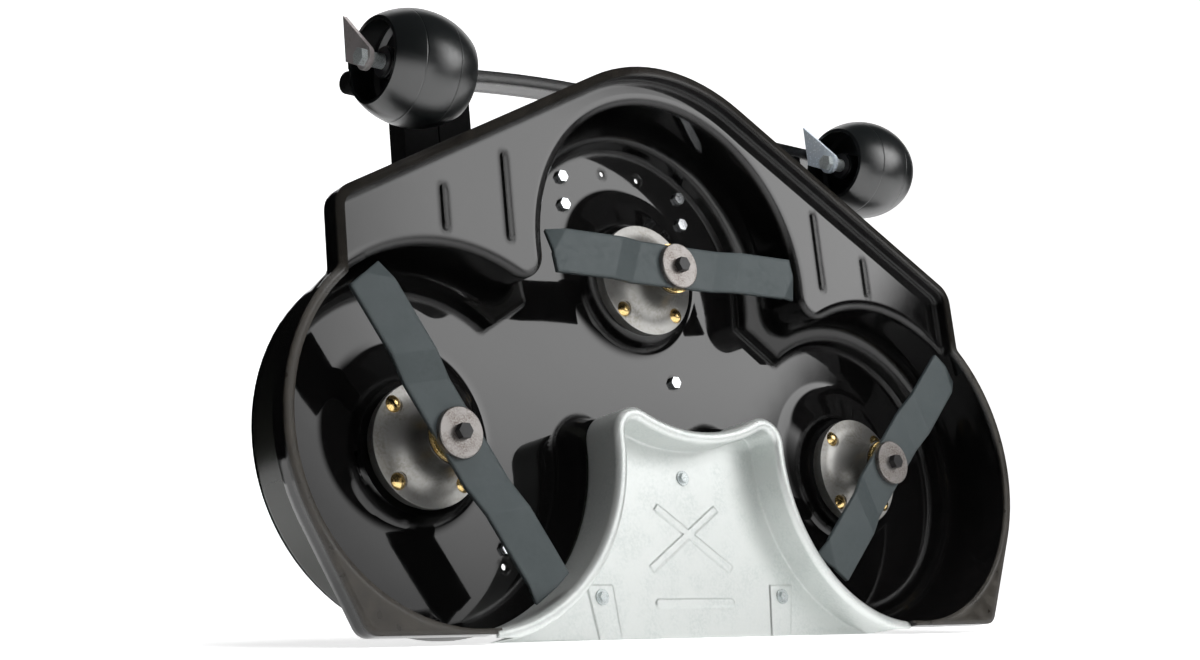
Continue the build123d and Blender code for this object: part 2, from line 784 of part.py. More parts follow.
def loop(grow):
    """The ground inside the belt, grown by a thickness."""
    idler_groove = IDLER_R - (PULLEY_R - GROOVE_R)
    base = GROOVE_R + BELT_SEAT + grow
    ring = [
        (LEFT, base),
        (IDLER, idler_groove + BELT_SEAT + grow),
        (RIGHT, base),
        (CENTRE, base),
    ]
    points = []
    for (a, ra), (b, rb) in zip(ring, ring[1:] + ring[:1]):
        du, dv = b[0] - a[0], b[1] - a[1]
        turn = atan2(dv, du) - atan2(
            sqrt(du**2 + dv**2 - (ra - rb) ** 2), ra - rb
        )
        points.append((a[0] + ra * cos(turn), a[1] + ra * sin(turn)))
        points.append((b[0] + rb * cos(turn), b[1] + rb * sin(turn)))
    shape = polygon(*points)
    for at, radius in ring:
        shape = shape + Pos(*at) * Circle(radius)
    return shape


def v_belt():
    """The belt around the three spindles and the idler."""
    body = None
    for layer in (0, 1):
        deep = BELT_SEAT + layer * BELT_LAYER
        half = GROOVE_HALF + GROOVE_SLOPE * deep - BELT_SIDE_GAP
        face = loop((layer + 1) * BELT_LAYER) - loop(layer * BELT_LAYER)
        part = slab(face, BELT_W - half, BELT_W + half)
        body = part if body is None else body + part
    return body


def idler_plate():
    """The plate that carries the idler, with its stud."""
    low = ROOF_TOP_W
    top = low + IDLER_PLATE_T
    first, second = IDLER_BOLTS
    length = hypot(second[0] - first[0], second[1] - first[1])
    angle = degrees(atan2(second[1] - first[1], second[0] - first[0]))
    spot = ((first[0] + second[0]) / 2, (first[1] + second[1]) / 2)
    bar = SlotCenterToCenter(length, 2 * IDLER_PLATE_R, rotation=angle)
    body = slab(Pos(*spot) * bar, low, top)
    body += disc(IDLER, IDLER_PLATE_R, low, top)
    for at in IDLER_BOLTS:
        body -= disc(at, M8_HOLE_R, low, top)
    body += disc(IDLER, IDLER_STUD_R + 5, top, HUB_LOW_W)
    body += disc(IDLER, IDLER_STUD_R, HUB_LOW_W, HUB_TOP_W + 1)
    return body + disc(IDLER, IDLER_STUD_R + 4, HUB_TOP_W + 1, HUB_TOP_W + 4)


def idler_pulley():
    """The idler that keeps the belt tight."""
    groove = IDLER_R - (PULLEY_R - GROOVE_R)
    return grooved(IDLER, IDLER_STUD_R + SPIN_GAP, IDLER_R, groove, IDLER_STUD_R + 5)


def belt_keeper():
    """The bent plate that keeps a slack belt in place."""
    low = ROOF_TOP_W
    u, v = KEEPER_AT
    body = block(u - 15, u + 15, v - 15, KEEPER_V, low, low + KEEPER_T)
    body += block(u - 15, u + 15, KEEPER_V - KEEPER_T, KEEPER_V, low, BELT_W + 9)
    return body - disc(KEEPER_AT, M8_HOLE_R, low, low + KEEPER_T)


def belt_cover(at, side):
    """The cover over a side pulley, with a window for the belt."""
    low = ROOF_TOP_W
    inner = COVER_R - COVER_T
    body = disc(at, COVER_R, low, COVER_TOP_W)
    tops = [
        e
        for e in body.edges()
        if e.geom_type == GeomType.CIRCLE and abs(e.center().Z + COVER_TOP_W) < 1e-6
    ]
    body = fillet(ShapeList(tops), COVER_ROUND)
    body -= disc(at, inner, low, COVER_TOP_W - COVER_T)
    near_u, far_u = sorted((at[0] + side * 8, at[0] - side * (COVER_R + 20)))
    span = (BELT_W - WINDOW_HALF, BELT_W + WINDOW_HALF)
    return body - block(near_u, far_u, at[1] - COVER_R, at[1] + COVER_R, *span)


def deck_bolts():
    """Hexagon bolts up through the roof for feet, idler plate and keeper."""
    parts = []
    for spot, grip in roof_joints():
        body = hexagon(spot, M8_AF, ROOF_W - M8_HEAD, ROOF_W)
        top = ROOF_TOP_W + grip + M8_NUT + 3
        parts.append(body + disc(spot, CARRIAGE_R, ROOF_W - 1, top))
    return parts


def roof_joints():
    """Each roof bolt with the thickness it clamps above the roof."""
    joints = [(spot, FOOT_T) for spot in FOOT_BOLTS]
    joints += [(spot, IDLER_PLATE_T) for spot in IDLER_BOLTS]
    return joints + [(KEEPER_AT, KEEPER_T)]


def deck_nuts():
    """Nuts on the roof bolts."""
    parts = []
    for spot, grip in roof_joints():
        low = ROOF_TOP_W + grip
        nut = hexagon(spot, M8_AF, low, low + M8_NUT)
        parts.append(nut - disc(spot, CARRIAGE_R + RUN_GAP, low, low + M8_NUT))
    return parts


def rail(side):
    """One square-tube rail along the top, with a pin hole at its rear end."""
    u0, u1 = side * RAIL_U - RAIL / 2, side * RAIL_U + RAIL / 2
    body = block(u0, u1, RAIL_REAR_V, RAIL_FRONT_V, RAIL_W, RAIL_TOP_W)
    wall = RAIL_WALL
    body -= block(
        u0 + wall,
        u1 - wall,
        RAIL_REAR_V - 1,
        RAIL_FRONT_V - wall,
        RAIL_W + wall,
        RAIL_TOP_W - wall,
    )
    pin = Pos(side * RAIL_U, RAIL_REAR_V + HITCH_BACK, -RAIL_W - RAIL / 2)
    return body - pin * Rot(0, 90, 0) * Cylinder(HITCH_PIN_R, 2 * RAIL)


def hitch_bar():
    """The cross bar between the rails."""
    half = RAIL_U - RAIL / 2
    v0, v1 = HITCH_BAR_V - RAIL / 2, HITCH_BAR_V + RAIL / 2
    wall = RAIL_WALL
    body = block(-half, half, v0, v1, RAIL_W, RAIL_TOP_W)
    inside = (RAIL_W + wall, RAIL_TOP_W - wall)
    return body - block(-half - 1, half + 1, v0 + wall, v1 - wall, *inside)


def foot(side, v, low_w, spread, bolts):
    """A foot plate with a column up to the rail."""
    u = side * RAIL_U
    half = RAIL / 2
    body = block(u - half, u + half, v - spread, v + spread, low_w, low_w + FOOT_T)
    deep = FOOT_COLUMN / 2
    body += block(u - half, u + half, v - deep, v + deep, low_w, RAIL_W)
    for at in bolts:
        body -= disc(at, M8_HOLE_R, low_w, low_w + FOOT_T)
    return body


def front_feet():
    """The bolted feet under the front of both rails."""
    spread = FOOT_PITCH / 2 + FOOT_EDGE
    return [
        foot(s, FOOT_V, ROOF_TOP_W, spread, [b for b in FOOT_BOLTS if b[0] * s > 0])
        for s in (-1, 1)
    ]


def rear_feet():
    """The welded feet between the island and the rear of both rails."""
    return [foot(s, REAR_FOOT_V, ISLAND_TOP_W, REAR_FOOT_HALF, []) for s in (-1, 1)]


def bowed(inset):
    """The plan of the front cross tube, thinned by a wall."""
    half = TUBE_TALL / 2 - inset
    low, high = TUBE_V - half, TUBE_V + half
    end, bend = TUBE_END_U, TUBE_STRAIGHT_U
    return make_face(
        [
            Line((-end, low), (-bend, low)),
            ThreePointArc((-bend, low), (0, low + TUBE_BOW), (bend, low)),
            Line((bend, low), (end, low)),
            Line((end, low), (end, high)),
            Line((end, high), (bend, high)),
            ThreePointArc((bend, high), (0, high + TUBE_BOW), (-bend, high)),
            Line((-bend, high), (-end, high)),
            Line((-end, high), (-end, low)),
        ]
    )


def cross_tube():
    """The flat tube that bows around the nose and carries the rollers."""
    wall = TUBE_WALL
    body = slab(bowed(0), TUBE_W, TUBE_W + TUBE_DEEP)
    return body - slab(bowed(wall), TUBE_W + wall, TUBE_W + TUBE_DEEP - wall)


def carrier_arms(side):
    """Two tubes side by side from the roof step to the cross tube."""
    at = LEFT if side < 0 else RIGHT
    step = STEP_R + SHEET
    far_w = TUBE_W + ARM_DEEP
    roof = turned(
        at,
        [
            (0, RING_W),
            (step + STEP_DRAFT, RING_W),
            (step + STEP_DRAFT, RING_W + SHEET),
            (step - STEP_DRAFT, ROOF_TOP_W),
            (step - STEP_DRAFT, far_w + 1),
            (0, far_w + 1),
        ],
    )
    roof += slab(middle(PASSAGE_E + SHEET, SHEET), RING_W, far_w + 1)
    front = TUBE_V - TUBE_TALL / 2
    wall = ARM_WALL
    bars = []
    for a, b in (
        (ARM_IN_U, ARM_SPLIT_U - ARM_GAP / 2),
        (ARM_SPLIT_U + ARM_GAP / 2, ARM_OUT_U),
    ):
        u0, u1 = sorted((side * a, side * b))
        bar = block(u0, u1, ARM_BACK_V, front, TUBE_W, far_w) - roof
        inside = (ARM_HOLLOW_V, front - wall, TUBE_W + wall, far_w - wall)
        bars.append(bar - block(u0 + wall, u1 - wall, *inside))
    bars[1] += arm_stub(side)
    return bars


def arm_stub(side):
    """The round-ended stub on the outside of the arms."""
    length = STUB_END_U - ARM_OUT_U
    body = Rot(0, 90, 0) * Cylinder(STUB_R, length)
    ends = [
        e
        for e in body.edges()
        if e.geom_type == GeomType.CIRCLE and e.center().X * side > 1
    ]
    body = fillet(ShapeList(ends), STUB_ROUND)
    middle_u = side * (ARM_OUT_U + length / 2)
    return Pos(middle_u, STUB_V, -TUBE_W - ARM_DEEP / 2) * body


def across(side, points):
    """A turned piece on the roller axle, from its (offset, radius) profile."""
    profile = make_face(Polyline(*points, close=True))
    return axle_place(side) * revolve(profile, Axis.X)


def axle_place(side):
    """The middle of one roller axle."""
    return Pos(side * WHEEL_U, AXLE_V, -AXLE_W)


def roller(side):
    """A hollow-ended barrel roller."""
    half = ROLLER_WIDTH / 2
    web = ROLLER_WEB
    inner = ROLLER_R - 12
    bore = BUSH_R + RUN_GAP
    edge = [
        (half, ROLLER_END_R),
        (half, ROLLER_OPEN_R),
        (web + 5, inner),
        (web, inner - 4),
        (web, ROLLER_HUB_R),
        (ROLLER_HUB_HALF, ROLLER_HUB_R),
        (ROLLER_HUB_HALF, bore),
    ]
    line = edge + [(-d, r) for d, r in reversed(edge)]
    crown = ThreePointArc((-half, ROLLER_END_R), (0, ROLLER_R), (half, ROLLER_END_R))
    body = revolve(make_face([crown, Polyline(*line)]), Axis.X)
    return axle_place(side) * body


def roller_bushes(side):
    """The two flanged bushes in a roller hub."""
    parts = []
    bore = SLEEVE_R + SPIN_GAP
    end = ROLLER_HUB_HALF
    for s in (-1, 1):
        points = [
            (end - BUSH_LENGTH, bore),
            (end - BUSH_LENGTH, BUSH_R),
            (end, BUSH_R),
            (end, BUSH_FLANGE_R),
            (end + BUSH_FLANGE, BUSH_FLANGE_R),
            (end + BUSH_FLANGE, bore),
        ]
        parts.append(across(side, [(s * d, r) for d, r in points]))
    return parts


def axle_sleeve(side):
    """The spacer sleeve between the two ears of a roller."""
    half = EAR_AT - EAR_T / 2
    bore = AXLE_R + RUN_GAP
    points = [(-half, bore), (half, bore), (half, SLEEVE_R), (-half, SLEEVE_R)]
    return across(side, points)


def axle_hexagon(side, start, length):
    """A hexagon on the roller axle."""
    face = RegularPolygon(AXLE_AF / 2 / cos(pi / 6), 6)
    body = extrude(Plane.YZ * face, amount=length, dir=(1, 0, 0))
    return axle_place(side) * Pos(start, 0, 0) * body


def axle_pin(side, radius, start, end):
    """A round length on the roller axle."""
    body = Rot(0, 90, 0) * Cylinder(radius, end - start)
    return axle_place(side) * Pos((start + end) / 2, 0, 0) * body


def axle_bolt(side):
    """The bolt that a roller runs on."""
    out = EAR_AT + EAR_T / 2
    head = axle_hexagon(side, -out - AXLE_HEAD, AXLE_HEAD)
    return head + axle_pin(side, AXLE_R, -out - 1, out + AXLE_HEAD + 5)


def axle_nut(side):
    """The locknut on a roller bolt."""
    out = EAR_AT + EAR_T / 2
    hole = axle_pin(side, AXLE_R + RUN_GAP, out, out + AXLE_HEAD)
    return axle_hexagon(side, out, AXLE_HEAD) - hole


def wheel_ears(side):
    """The two ears of one roller, each bent in over the roller to the tube."""
    parts = []
    back, front = EAR_V
    for s in (-1, 1):
        u0 = side * WHEEL_U + s * EAR_AT - EAR_T / 2
        web = [
            (u0, AXLE_V - EAR_R, -AXLE_W + 2),
            (u0, back, -EAR_BEND_W),
            (u0, front, -EAR_BEND_W),
            (u0, AXLE_V + EAR_R * 0.62, -AXLE_W + EAR_R * 0.78),
        ]
        body = extrude(make_face(Polyline(*web, close=True)), amount=EAR_T, dir=(1, 0, 0))
        body += axle_pin(side, EAR_R, s * EAR_AT - EAR_T / 2, s * EAR_AT + EAR_T / 2)
        top = u0 - s * EAR_IN
        strap = [
            (u0, STRAP_V, -EAR_BEND_W),
            (u0 + EAR_T, STRAP_V, -EAR_BEND_W),
            (top + EAR_T, STRAP_V, -TUBE_W),
            (top, STRAP_V, -TUBE_W),
        ]
        strap = make_face(Polyline(*strap, close=True))
        body += extrude(strap, amount=front - STRAP_V, dir=(0, 1, 0))
        hole = axle_pin(side, AXLE_R + RUN_GAP, s * EAR_AT - EAR_T, s * EAR_AT + EAR_T)
        parts.append(body - hole)
    return parts


def build():
    """Every piece by node name."""
    nodes = {
        "deck_shell": deck_shell(),
        "mulch_plug": mulch_plug(),
        "plug_screws": plug_screws(),
        "housing_bolts": housing_bolts(),
        "housing_nuts": housing_nuts(),
        "v_belt": v_belt(),
        "idler_plate": idler_plate(),
        "idler_pulley": idler_pulley(),
        "belt_keeper": belt_keeper(),
        "deck_bolts": deck_bolts(),
        "deck_nuts": deck_nuts(),
        "hitch_bar": hitch_bar(),
        "front_feet": front_feet(),
        "rear_feet": rear_feet(),
        "cross_tube": cross_tube(),
    }
    for (name, at), angle in zip(SPINDLES, BLADE_ANGLES):
        nodes[f"housing_{name}"] = housing(at)
        nodes[f"bearings_{name}"] = bearings(at)
        nodes[f"shaft_{name}"] = shaft(at)
        nodes[f"collar_{name}"] = collar(at)
        nodes[f"blade_{name}"] = blade(at, angle)
        nodes[f"washer_{name}"] = washer(at)
        nodes[f"blade_bolt_{name}"] = blade_bolt(at)
        nodes[f"pulley_{name}"] = pulley(at)
        nodes[f"spindle_nut_{name}"] = spindle_nut(at)
    for name, side, at in (("left", -1, LEFT), ("right", 1, RIGHT)):
        nodes[f"belt_cover_{name}"] = belt_cover(at, side)
        nodes[f"rail_{name}"] = rail(side)
        nodes[f"carrier_arms_{name}"] = carrier_arms(side)
        nodes[f"wheel_ears_{name}"] = wheel_ears(side)
        nodes[f"roller_{name}"] = roller(side)
        nodes[f"roller_bushes_{name}"] = roller_bushes(side)
        nodes[f"axle_sleeve_{name}"] = axle_sleeve(side)
        nodes[f"axle_bolt_{name}"] = axle_bolt(side)
        nodes[f"axle_nut_{name}"] = axle_nut(side)
    return nodes


def gathered(shape):
    """One shape from a piece or from a group of alike pieces."""
    if not isinstance(shape, list):
        return shape
    return Compound([s for part in shape for s in part.solids()])


def main():
    """Stand the deck up and write every piece."""
    os.makedirs("parts", exist_ok=True)
    stand = Rot(90 - LEAN, 0, 0)
    nodes = {name: stand * gathered(shape) for name, shape in build().items()}
    boxes = [shape.bounding_box() for shape in nodes.values()]
    low = [min(getattr(b.min, k) for b in boxes) for k in "XYZ"]
    high = [max(getattr(b.max, k) for b in boxes) for k in "XYZ"]
    shift = Pos(-(low[0] + high[0]) / 2, -(low[1] + high[1]) / 2, -low[2])
    for name, shape in nodes.items():
        export_step(shift * shape, f"parts/{name}.step")


main()
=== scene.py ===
"""Dress the standing mower deck: finishes, worked details, soft studio light and camera."""
import json
import logging
import math
from dataclasses import dataclass
from enum import Enum
from typing import Callable, Iterable, Optional, Union

import bpy
from mathutils import Matrix, Vector


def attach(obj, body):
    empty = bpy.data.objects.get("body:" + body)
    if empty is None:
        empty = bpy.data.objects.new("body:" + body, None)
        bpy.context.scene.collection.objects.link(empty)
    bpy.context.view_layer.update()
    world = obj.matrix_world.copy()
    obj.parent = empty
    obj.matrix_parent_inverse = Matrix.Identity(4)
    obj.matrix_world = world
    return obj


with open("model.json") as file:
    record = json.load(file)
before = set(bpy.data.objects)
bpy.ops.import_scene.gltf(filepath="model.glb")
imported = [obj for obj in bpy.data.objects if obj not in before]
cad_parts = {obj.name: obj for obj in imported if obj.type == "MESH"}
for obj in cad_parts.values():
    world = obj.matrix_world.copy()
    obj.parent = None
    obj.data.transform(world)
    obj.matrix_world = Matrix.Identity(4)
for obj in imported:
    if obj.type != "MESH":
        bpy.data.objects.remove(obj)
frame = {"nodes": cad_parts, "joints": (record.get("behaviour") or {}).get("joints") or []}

LOG = logging.getLogger("mower_deck")

Colour = tuple[float, float, float]
Socket = bpy.types.NodeSocket
Sockets = Union[bpy.types.NodeInputs, bpy.types.NodeOutputs]
Value = Union[float, Colour, Socket]

SIDES = ("left", "right")
SPINDLES = ("left", "centre", "right")
WHITE = (1.0, 1.0, 1.0)


class Grain(Enum):
    """The fine relief that a way of making leaves on a surface."""

    PEEL = "sprayed paint"
    CAST = "sand or die casting"
    ROLLED = "rolled sheet"
    TURNED = "turned on a lathe"
    MOULDED = "moulded plastic"


GRAIN_DETAIL = {Grain.PEEL: 2.0, Grain.ROLLED: 4.0, Grain.CAST: 5.0, Grain.MOULDED: 5.0}
ROLLED_STRETCH = (1.0, 0.12, 1.0)


@dataclass(frozen=True)
class DeckAxes:
    """The deck's own directions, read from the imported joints.

    A place on the deck is (u, v, w) in metres: u across, v toward the front and
    w the depth from the rim plane into the deck.
    """

    origin: Vector
    across: Vector
    ahead: Vector
    depth: Vector

    @classmethod
    def from_joints(cls, joints: Iterable[dict], journal_depth: float = 0.060) -> "DeckAxes":
        """Work the axes out from the three spindle joints.

        Args:
            joints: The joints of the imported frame.
            journal_depth: How deep under the rim plane the joints' points lie.

        Returns:
            The axes, with the origin midway between the side spindles.
        """
        spin = {j["name"]: j for j in joints}
        left, centre, right = (spin[f"spindle_{n}_spin"] for n in SPINDLES)
        depth = Vector(centre["axis"]).normalized()
        across = (Vector(right["pos_m"]) - Vector(left["pos_m"])).normalized()
        middle = (Vector(left["pos_m"]) + Vector(right["pos_m"])) / 2
        return cls(middle - depth * journal_depth, across, across.cross(depth), depth)

    def point(self, u: float, v: float, w: float) -> Vector:
        """Return the place (u, v, w) of the deck in the row frame."""
        return self.origin + self.across * u + self.ahead * v + self.depth * w


AXES = DeckAxes.from_joints(frame["joints"])


class Net:
    """A shader node tree under construction."""

    def __init__(self, tree: bpy.types.NodeTree) -> None:
        """Start on an emptied tree."""
        self.tree = tree
        tree.nodes.clear()

    def add(self, kind: str, inputs: Optional[dict] = None, **settings: object) -> bpy.types.Node:
        """Add a node.

        Args:
            kind: The node type without its ShaderNode prefix.
            inputs: Input values or sockets by input name or index.
            **settings: Attributes of the node.

        Returns:
            The new node.
        """
        node = self.tree.nodes.new(f"ShaderNode{kind}")
        for name, value in settings.items():
            setattr(node, name, value)
        for name, value in (inputs or {}).items():
            self.feed(node.inputs[name], value)
        return node

    def feed(self, target: Socket, value: Value) -> None:
        """Set a socket to a value, or link another socket to it.

        Args:
            target: The input socket.
            value: A number, a colour, a vector or an output socket.
        """
        if isinstance(value, bpy.types.NodeSocket):
            self.tree.links.new(value, target)
        elif target.type == "RGBA":
            target.default_value = (*value, 1.0)
        else:
            target.default_value = value

    def math(self, operation: str, a: Value, b: Value = 0.0, clamp: bool = False) -> Socket:
        """Return the result of one sum on two values."""
        node = self.add("Math", {0: a, 1: b}, operation=operation, use_clamp=clamp)
        return node.outputs[0]

    def times(self, first: Value, *others: Value) -> Value:
        """Multiply values.

        Args:
            first: The first value.
            *others: What it is multiplied by, in turn.

        Returns:
            The product.
        """
        product = first
        for other in others:
            product = self.math("MULTIPLY", product, other)
        return product

    def vector(self, operation: str, a: Value, b: Value = (0.0, 0.0, 0.0)) -> bpy.types.Node:
        """Return the node of one sum on two vectors."""
        return self.add("VectorMath", {0: a, 1: b}, operation=operation)

    def step(self, value: Value, low: float, high: float) -> Socket:
        """Ease a value in.

        Args:
            value: The value.
            low: Where the step is 0.
            high: Where the step is 1, which may be less than low.

        Returns:
            A smooth step from 0 to 1.
        """
        inputs = {"Value": value, "From Min": low, "From Max": high}
        node = self.add("MapRange", inputs, interpolation_type="SMOOTHSTEP")
        return node.outputs["Result"]

    def span(self, value: Value, low: float, high: float) -> Socket:
        """Return a value from 0 to 1 laid out between low and high."""
        return self.add("MapRange", {"Value": value, "To Min": low, "To Max": high}).outputs["Result"]

    def mix(self, mask: Value, a: Value, b: Value) -> Socket:
        """Mix two colours.

        Args:
            mask: Where the second colour shows.
            a: The first colour.
            b: The second colour.

        Returns:
            The mixed colour.
        """
        node = self.add("Mix", data_type="RGBA", clamp_factor=True)
        for index, value in ((0, mask), (6, a), (7, b)):
            self.feed(node.inputs[index], value)
        return node.outputs[2]

    def blend(self, mask: Value, a: Value, b: Value) -> Socket:
        """Mix two numbers.

        Args:
            mask: Where the second number holds.
            a: The first number.
            b: The second number.

        Returns:
            The mixed number.
        """
        node = self.add("Mix", data_type="FLOAT", clamp_factor=True)
        for index, value in ((0, mask), (2, a), (3, b)):
            self.feed(node.inputs[index], value)
        return node.outputs[0]

    def noise(self, vector: Value, size: float, detail: float) -> Socket:
        """Return noise whose lumps are about the given size in metres."""
        inputs = {"Vector": vector, "Scale": 1.0 / size, "Detail": detail, "Roughness": 0.55}
        return self.add("TexNoise", inputs).outputs[0]


class EffectGroup:
    """A shared surface effect, kept as one shader node group."""

    name = "effect"
    takes: tuple[tuple[str, str, float], ...] = ()
    gives: tuple[tuple[str, str], ...] = ()

    def tree(self) -> bpy.types.NodeTree:
        """Find the node group, or make it on first use.

        Returns:
            The node group.
        """
        found = bpy.data.node_groups.get(self.name)
        if found:
            return found
        tree = bpy.data.node_groups.new(self.name, "ShaderNodeTree")
        for name, kind, start in self.takes:
            socket = tree.interface.new_socket(name, in_out="INPUT", socket_type=f"NodeSocket{kind}")
            if kind == "Float":
                socket.default_value = start
        for name, kind in self.gives:
            tree.interface.new_socket(name, in_out="OUTPUT", socket_type=f"NodeSocket{kind}")
        net = Net(tree)
        source = tree.nodes.new("NodeGroupInput").outputs
        target = tree.nodes.new("NodeGroupOutput").inputs
        self.wire(net, source, target)
        return tree

    def wire(self, net: Net, source: Sockets, target: Sockets) -> None:
        """Fill the group.

        Args:
            net: The group's tree.
            source: The group's inputs, as sockets to link from.
            target: The group's outputs, as sockets to link to.
        """
        raise NotImplementedError

    def place(self, net: Net, **values: Value) -> dict[str, Socket]:
        """Put the group into a material.

        Args:
            net: The material's tree.
            **values: The group's inputs by name.

        Returns:
            The group's outputs by name.
        """
        node = net.tree.nodes.new("ShaderNodeGroup")
        node.node_tree = self.tree()
        for name, value in values.items():
            net.feed(node.inputs[name], value)
        return {socket.name: socket for socket in node.outputs}


class DeckPlace(EffectGroup):
    """Where a surface point lies on the deck, as (u, v, w) in metres."""

    name = "deck_place"
    gives = (("U", "Float"), ("V", "Float"), ("W", "Float"), ("Place", "Vector"))

    def wire(self, net: Net, source: Sockets, target: Sockets) -> None:
        """Measure the object position along the deck's axes.

        Args:
            net: The group's tree.
            source: No inputs.
            target: U, V and W, and Place with all three.
        """
        place = net.add("TexCoord").outputs["Object"]
        arm = net.vector("SUBTRACT", place, AXES.origin).outputs[0]
        parts = []
        for name, axis in zip("UVW", (AXES.across, AXES.ahead, AXES.depth)):
            dot = net.vector("DOT_PRODUCT", arm, axis).outputs["Value"]
            net.feed(target[name], dot)
            parts.append(dot)
        joined = net.add("CombineXYZ", dict(enumerate(parts)))
        net.feed(target["Place"], joined.outputs[0])


class SoftEdge(EffectGroup):
    """Eased edges: a rounded normal and a mask of where the edge is."""

    name = "soft_edge"
    takes = (("Radius", "Float", 0.001),)
    gives = (("Normal", "Vector"), ("Edge", "Float"))
    samples = 6
    turn_range = (0.01, 0.16)

    def wire(self, net: Net, source: Sockets, target: Sockets) -> None:
        """Compare the eased normal with the face's own.

        Args:
            net: The group's tree.
            source: The edge's Radius.
            target: The eased Normal and the Edge mask.
        """
        eased = net.add("Bevel", {"Radius": source["Radius"]}, samples=self.samples).outputs["Normal"]
        plain = net.add("NewGeometry").outputs["Normal"]
        dot = net.vector("DOT_PRODUCT", eased, plain).outputs["Value"]
        turn = net.math("SUBTRACT", 1.0, dot, clamp=True)
        net.feed(target["Normal"], eased)
        net.feed(target["Edge"], net.step(turn, *self.turn_range))


class Patches(EffectGroup):
    """Broad uneven patches and a finer break-up, as masks from 0 to 1."""

    name = "patches"
    takes = (("Place", "Vector", 0.0), ("Size", "Float", 0.1))
    gives = (("Mask", "Float"), ("Fine", "Float"))
    coarse_detail = 4.0
    fine_detail = 5.0
    fineness = 9.0
    coarse_range = (0.36, 0.66)
    fine_range = (0.30, 0.72)

    def wire(self, net: Net, source: Sockets, target: Sockets) -> None:
        """Make coarse noise and fine noise.

        Args:
            net: The group's tree.
            source: The Place on the deck and the patches' Size.
            target: The coarse Mask and the Fine break-up.
        """
        place = source["Place"]
        scale = net.math("DIVIDE", 1.0, source["Size"])
        small = net.math("MULTIPLY", scale, self.fineness)
        coarse = net.add("TexNoise", {"Vector": place, "Scale": scale, "Detail": self.coarse_detail})
        fine = net.add("TexNoise", {"Vector": place, "Scale": small, "Detail": self.fine_detail})
        net.feed(target["Mask"], net.step(coarse.outputs[0], *self.coarse_range))
        net.feed(target["Fine"], net.step(fine.outputs[0], *self.fine_range))


class Rings(EffectGroup):
    """Radius, angle and fine rings about an axis that runs along the depth of the deck."""

    name = "rings"
    takes = (("Place", "Vector", 0.0), ("Centre", "Vector", 0.0), ("Pitch", "Float", 0.001))
    gives = (("Height", "Float"), ("Radius", "Float"), ("Angle", "Float"))
    wander_size = 0.004
    wander_detail = 2.0
    wander = 4.0

    def wire(self, net: Net, source: Sockets, target: Sockets) -> None:
        """Measure the radius about the centre and wave it.

        Args:
            net: The group's tree.
            source: The Place on the deck, the Centre and the rings' Pitch.
            target: The rings' Height from 0 to 1, the Radius and the Angle.
        """
        arm = net.vector("SUBTRACT", source["Place"], source["Centre"]).outputs[0]
        split = net.add("SeparateXYZ", {0: arm}).outputs
        squares = [net.math("POWER", split[i], 2.0) for i in range(2)]
        radius = net.math("SQRT", net.math("ADD", *squares))
        phase = net.math("MULTIPLY", net.math("DIVIDE", radius, source["Pitch"]), math.tau)
        uneven = net.math("MULTIPLY", net.noise(arm, self.wander_size, self.wander_detail), self.wander)
        wave = net.math("SINE", net.math("ADD", phase, uneven))
        net.feed(target["Height"], net.math("MULTIPLY", net.math("ADD", wave, 1.0), 0.5))
        net.feed(target["Radius"], radius)
        net.feed(target["Angle"], net.math("ARCTAN2", split[1], split[0]))


class PressedLean(EffectGroup):
    """The soft forms of the pressing as a lean of the normal: seats, ledge, shelf lips and rim."""

    name = "pressed_lean"
    takes = (("Place", "Vector", 0.0),)
    gives = (("Lean", "Vector"),)
    roof_w = (0.096, 0.0985)
    ledge_w = (0.070, 0.076)
    shelf_w = ((0.008, 0.013), (0.032, 0.024))
    rim_w = (0.005, 0.001)
    rim_v = (0.12, 0.18)
    seat_r = (0.109, 0.085)
    seat_aside = (-0.005, 0.016)
    ledge_r = (0.174, 0.183)
    lip_r = ((0.191, 0.195), (0.210, 0.197))
    seat_rise = 0.46
    ledge_fall = 0.6
    lip_fall = 0.42
    rim_roll = 0.42

    def wire(self, net: Net, source: Sockets, target: Sockets) -> None:
        """Add up the leans about the three spindles and along the front rim.

        Args:
            net: The group's tree.
            source: The Place on the deck.
            target: The Lean in the row frame.
        """
        place = source["Place"]
        _, ahead, depth = net.add("SeparateXYZ", {0: place}).outputs
        roof = net.step(depth, *self.roof_w)
        rim = net.times(net.step(depth, *self.rim_w), net.step(ahead, *self.rim_v), self.rim_roll)
        ledge = net.times(net.step(depth, *self.ledge_w), net.math("SUBTRACT", 1.0, roof))
        shelf = net.times(*(net.step(depth, *ends) for ends in self.shelf_w))
        parts: tuple[list[Socket], list[Socket]] = ([], [])
        for name in SPINDLES:
            u, v = spindle_centre(name)
            aside = (u + self.seat_aside[0], v + self.seat_aside[1], 0.0)
            ring = RINGS.place(net, Place=place, Centre=(u, v, 0.0))
            near = RINGS.place(net, Place=place, Centre=aside)["Radius"]
            seat = net.times(net.step(near, *self.seat_r), self.seat_rise, roof)
            fall = net.times(net.step(ring["Radius"], *self.ledge_r), self.ledge_fall, ledge)
            lip = net.times(*(net.step(ring["Radius"], *ends) for ends in self.lip_r), self.lip_fall, shelf)
            total = net.math("SUBTRACT", net.math("SUBTRACT", seat, fall), lip)
            for part, operation in zip(parts, ("COSINE", "SINE")):
                part.append(net.times(net.math(operation, ring["Angle"]), total))
        parts[1].append(rim)
        leans = []
        for axis, part in zip((AXES.across, AXES.ahead), parts):
            amount = part[0]
            for more in part[1:]:
                amount = net.math("ADD", amount, more)
            along = net.add("VectorMath", {0: axis, "Scale": amount}, operation="SCALE")
            leans.append(along.outputs[0])
        net.feed(target["Lean"], net.vector("ADD", *leans).outputs[0])


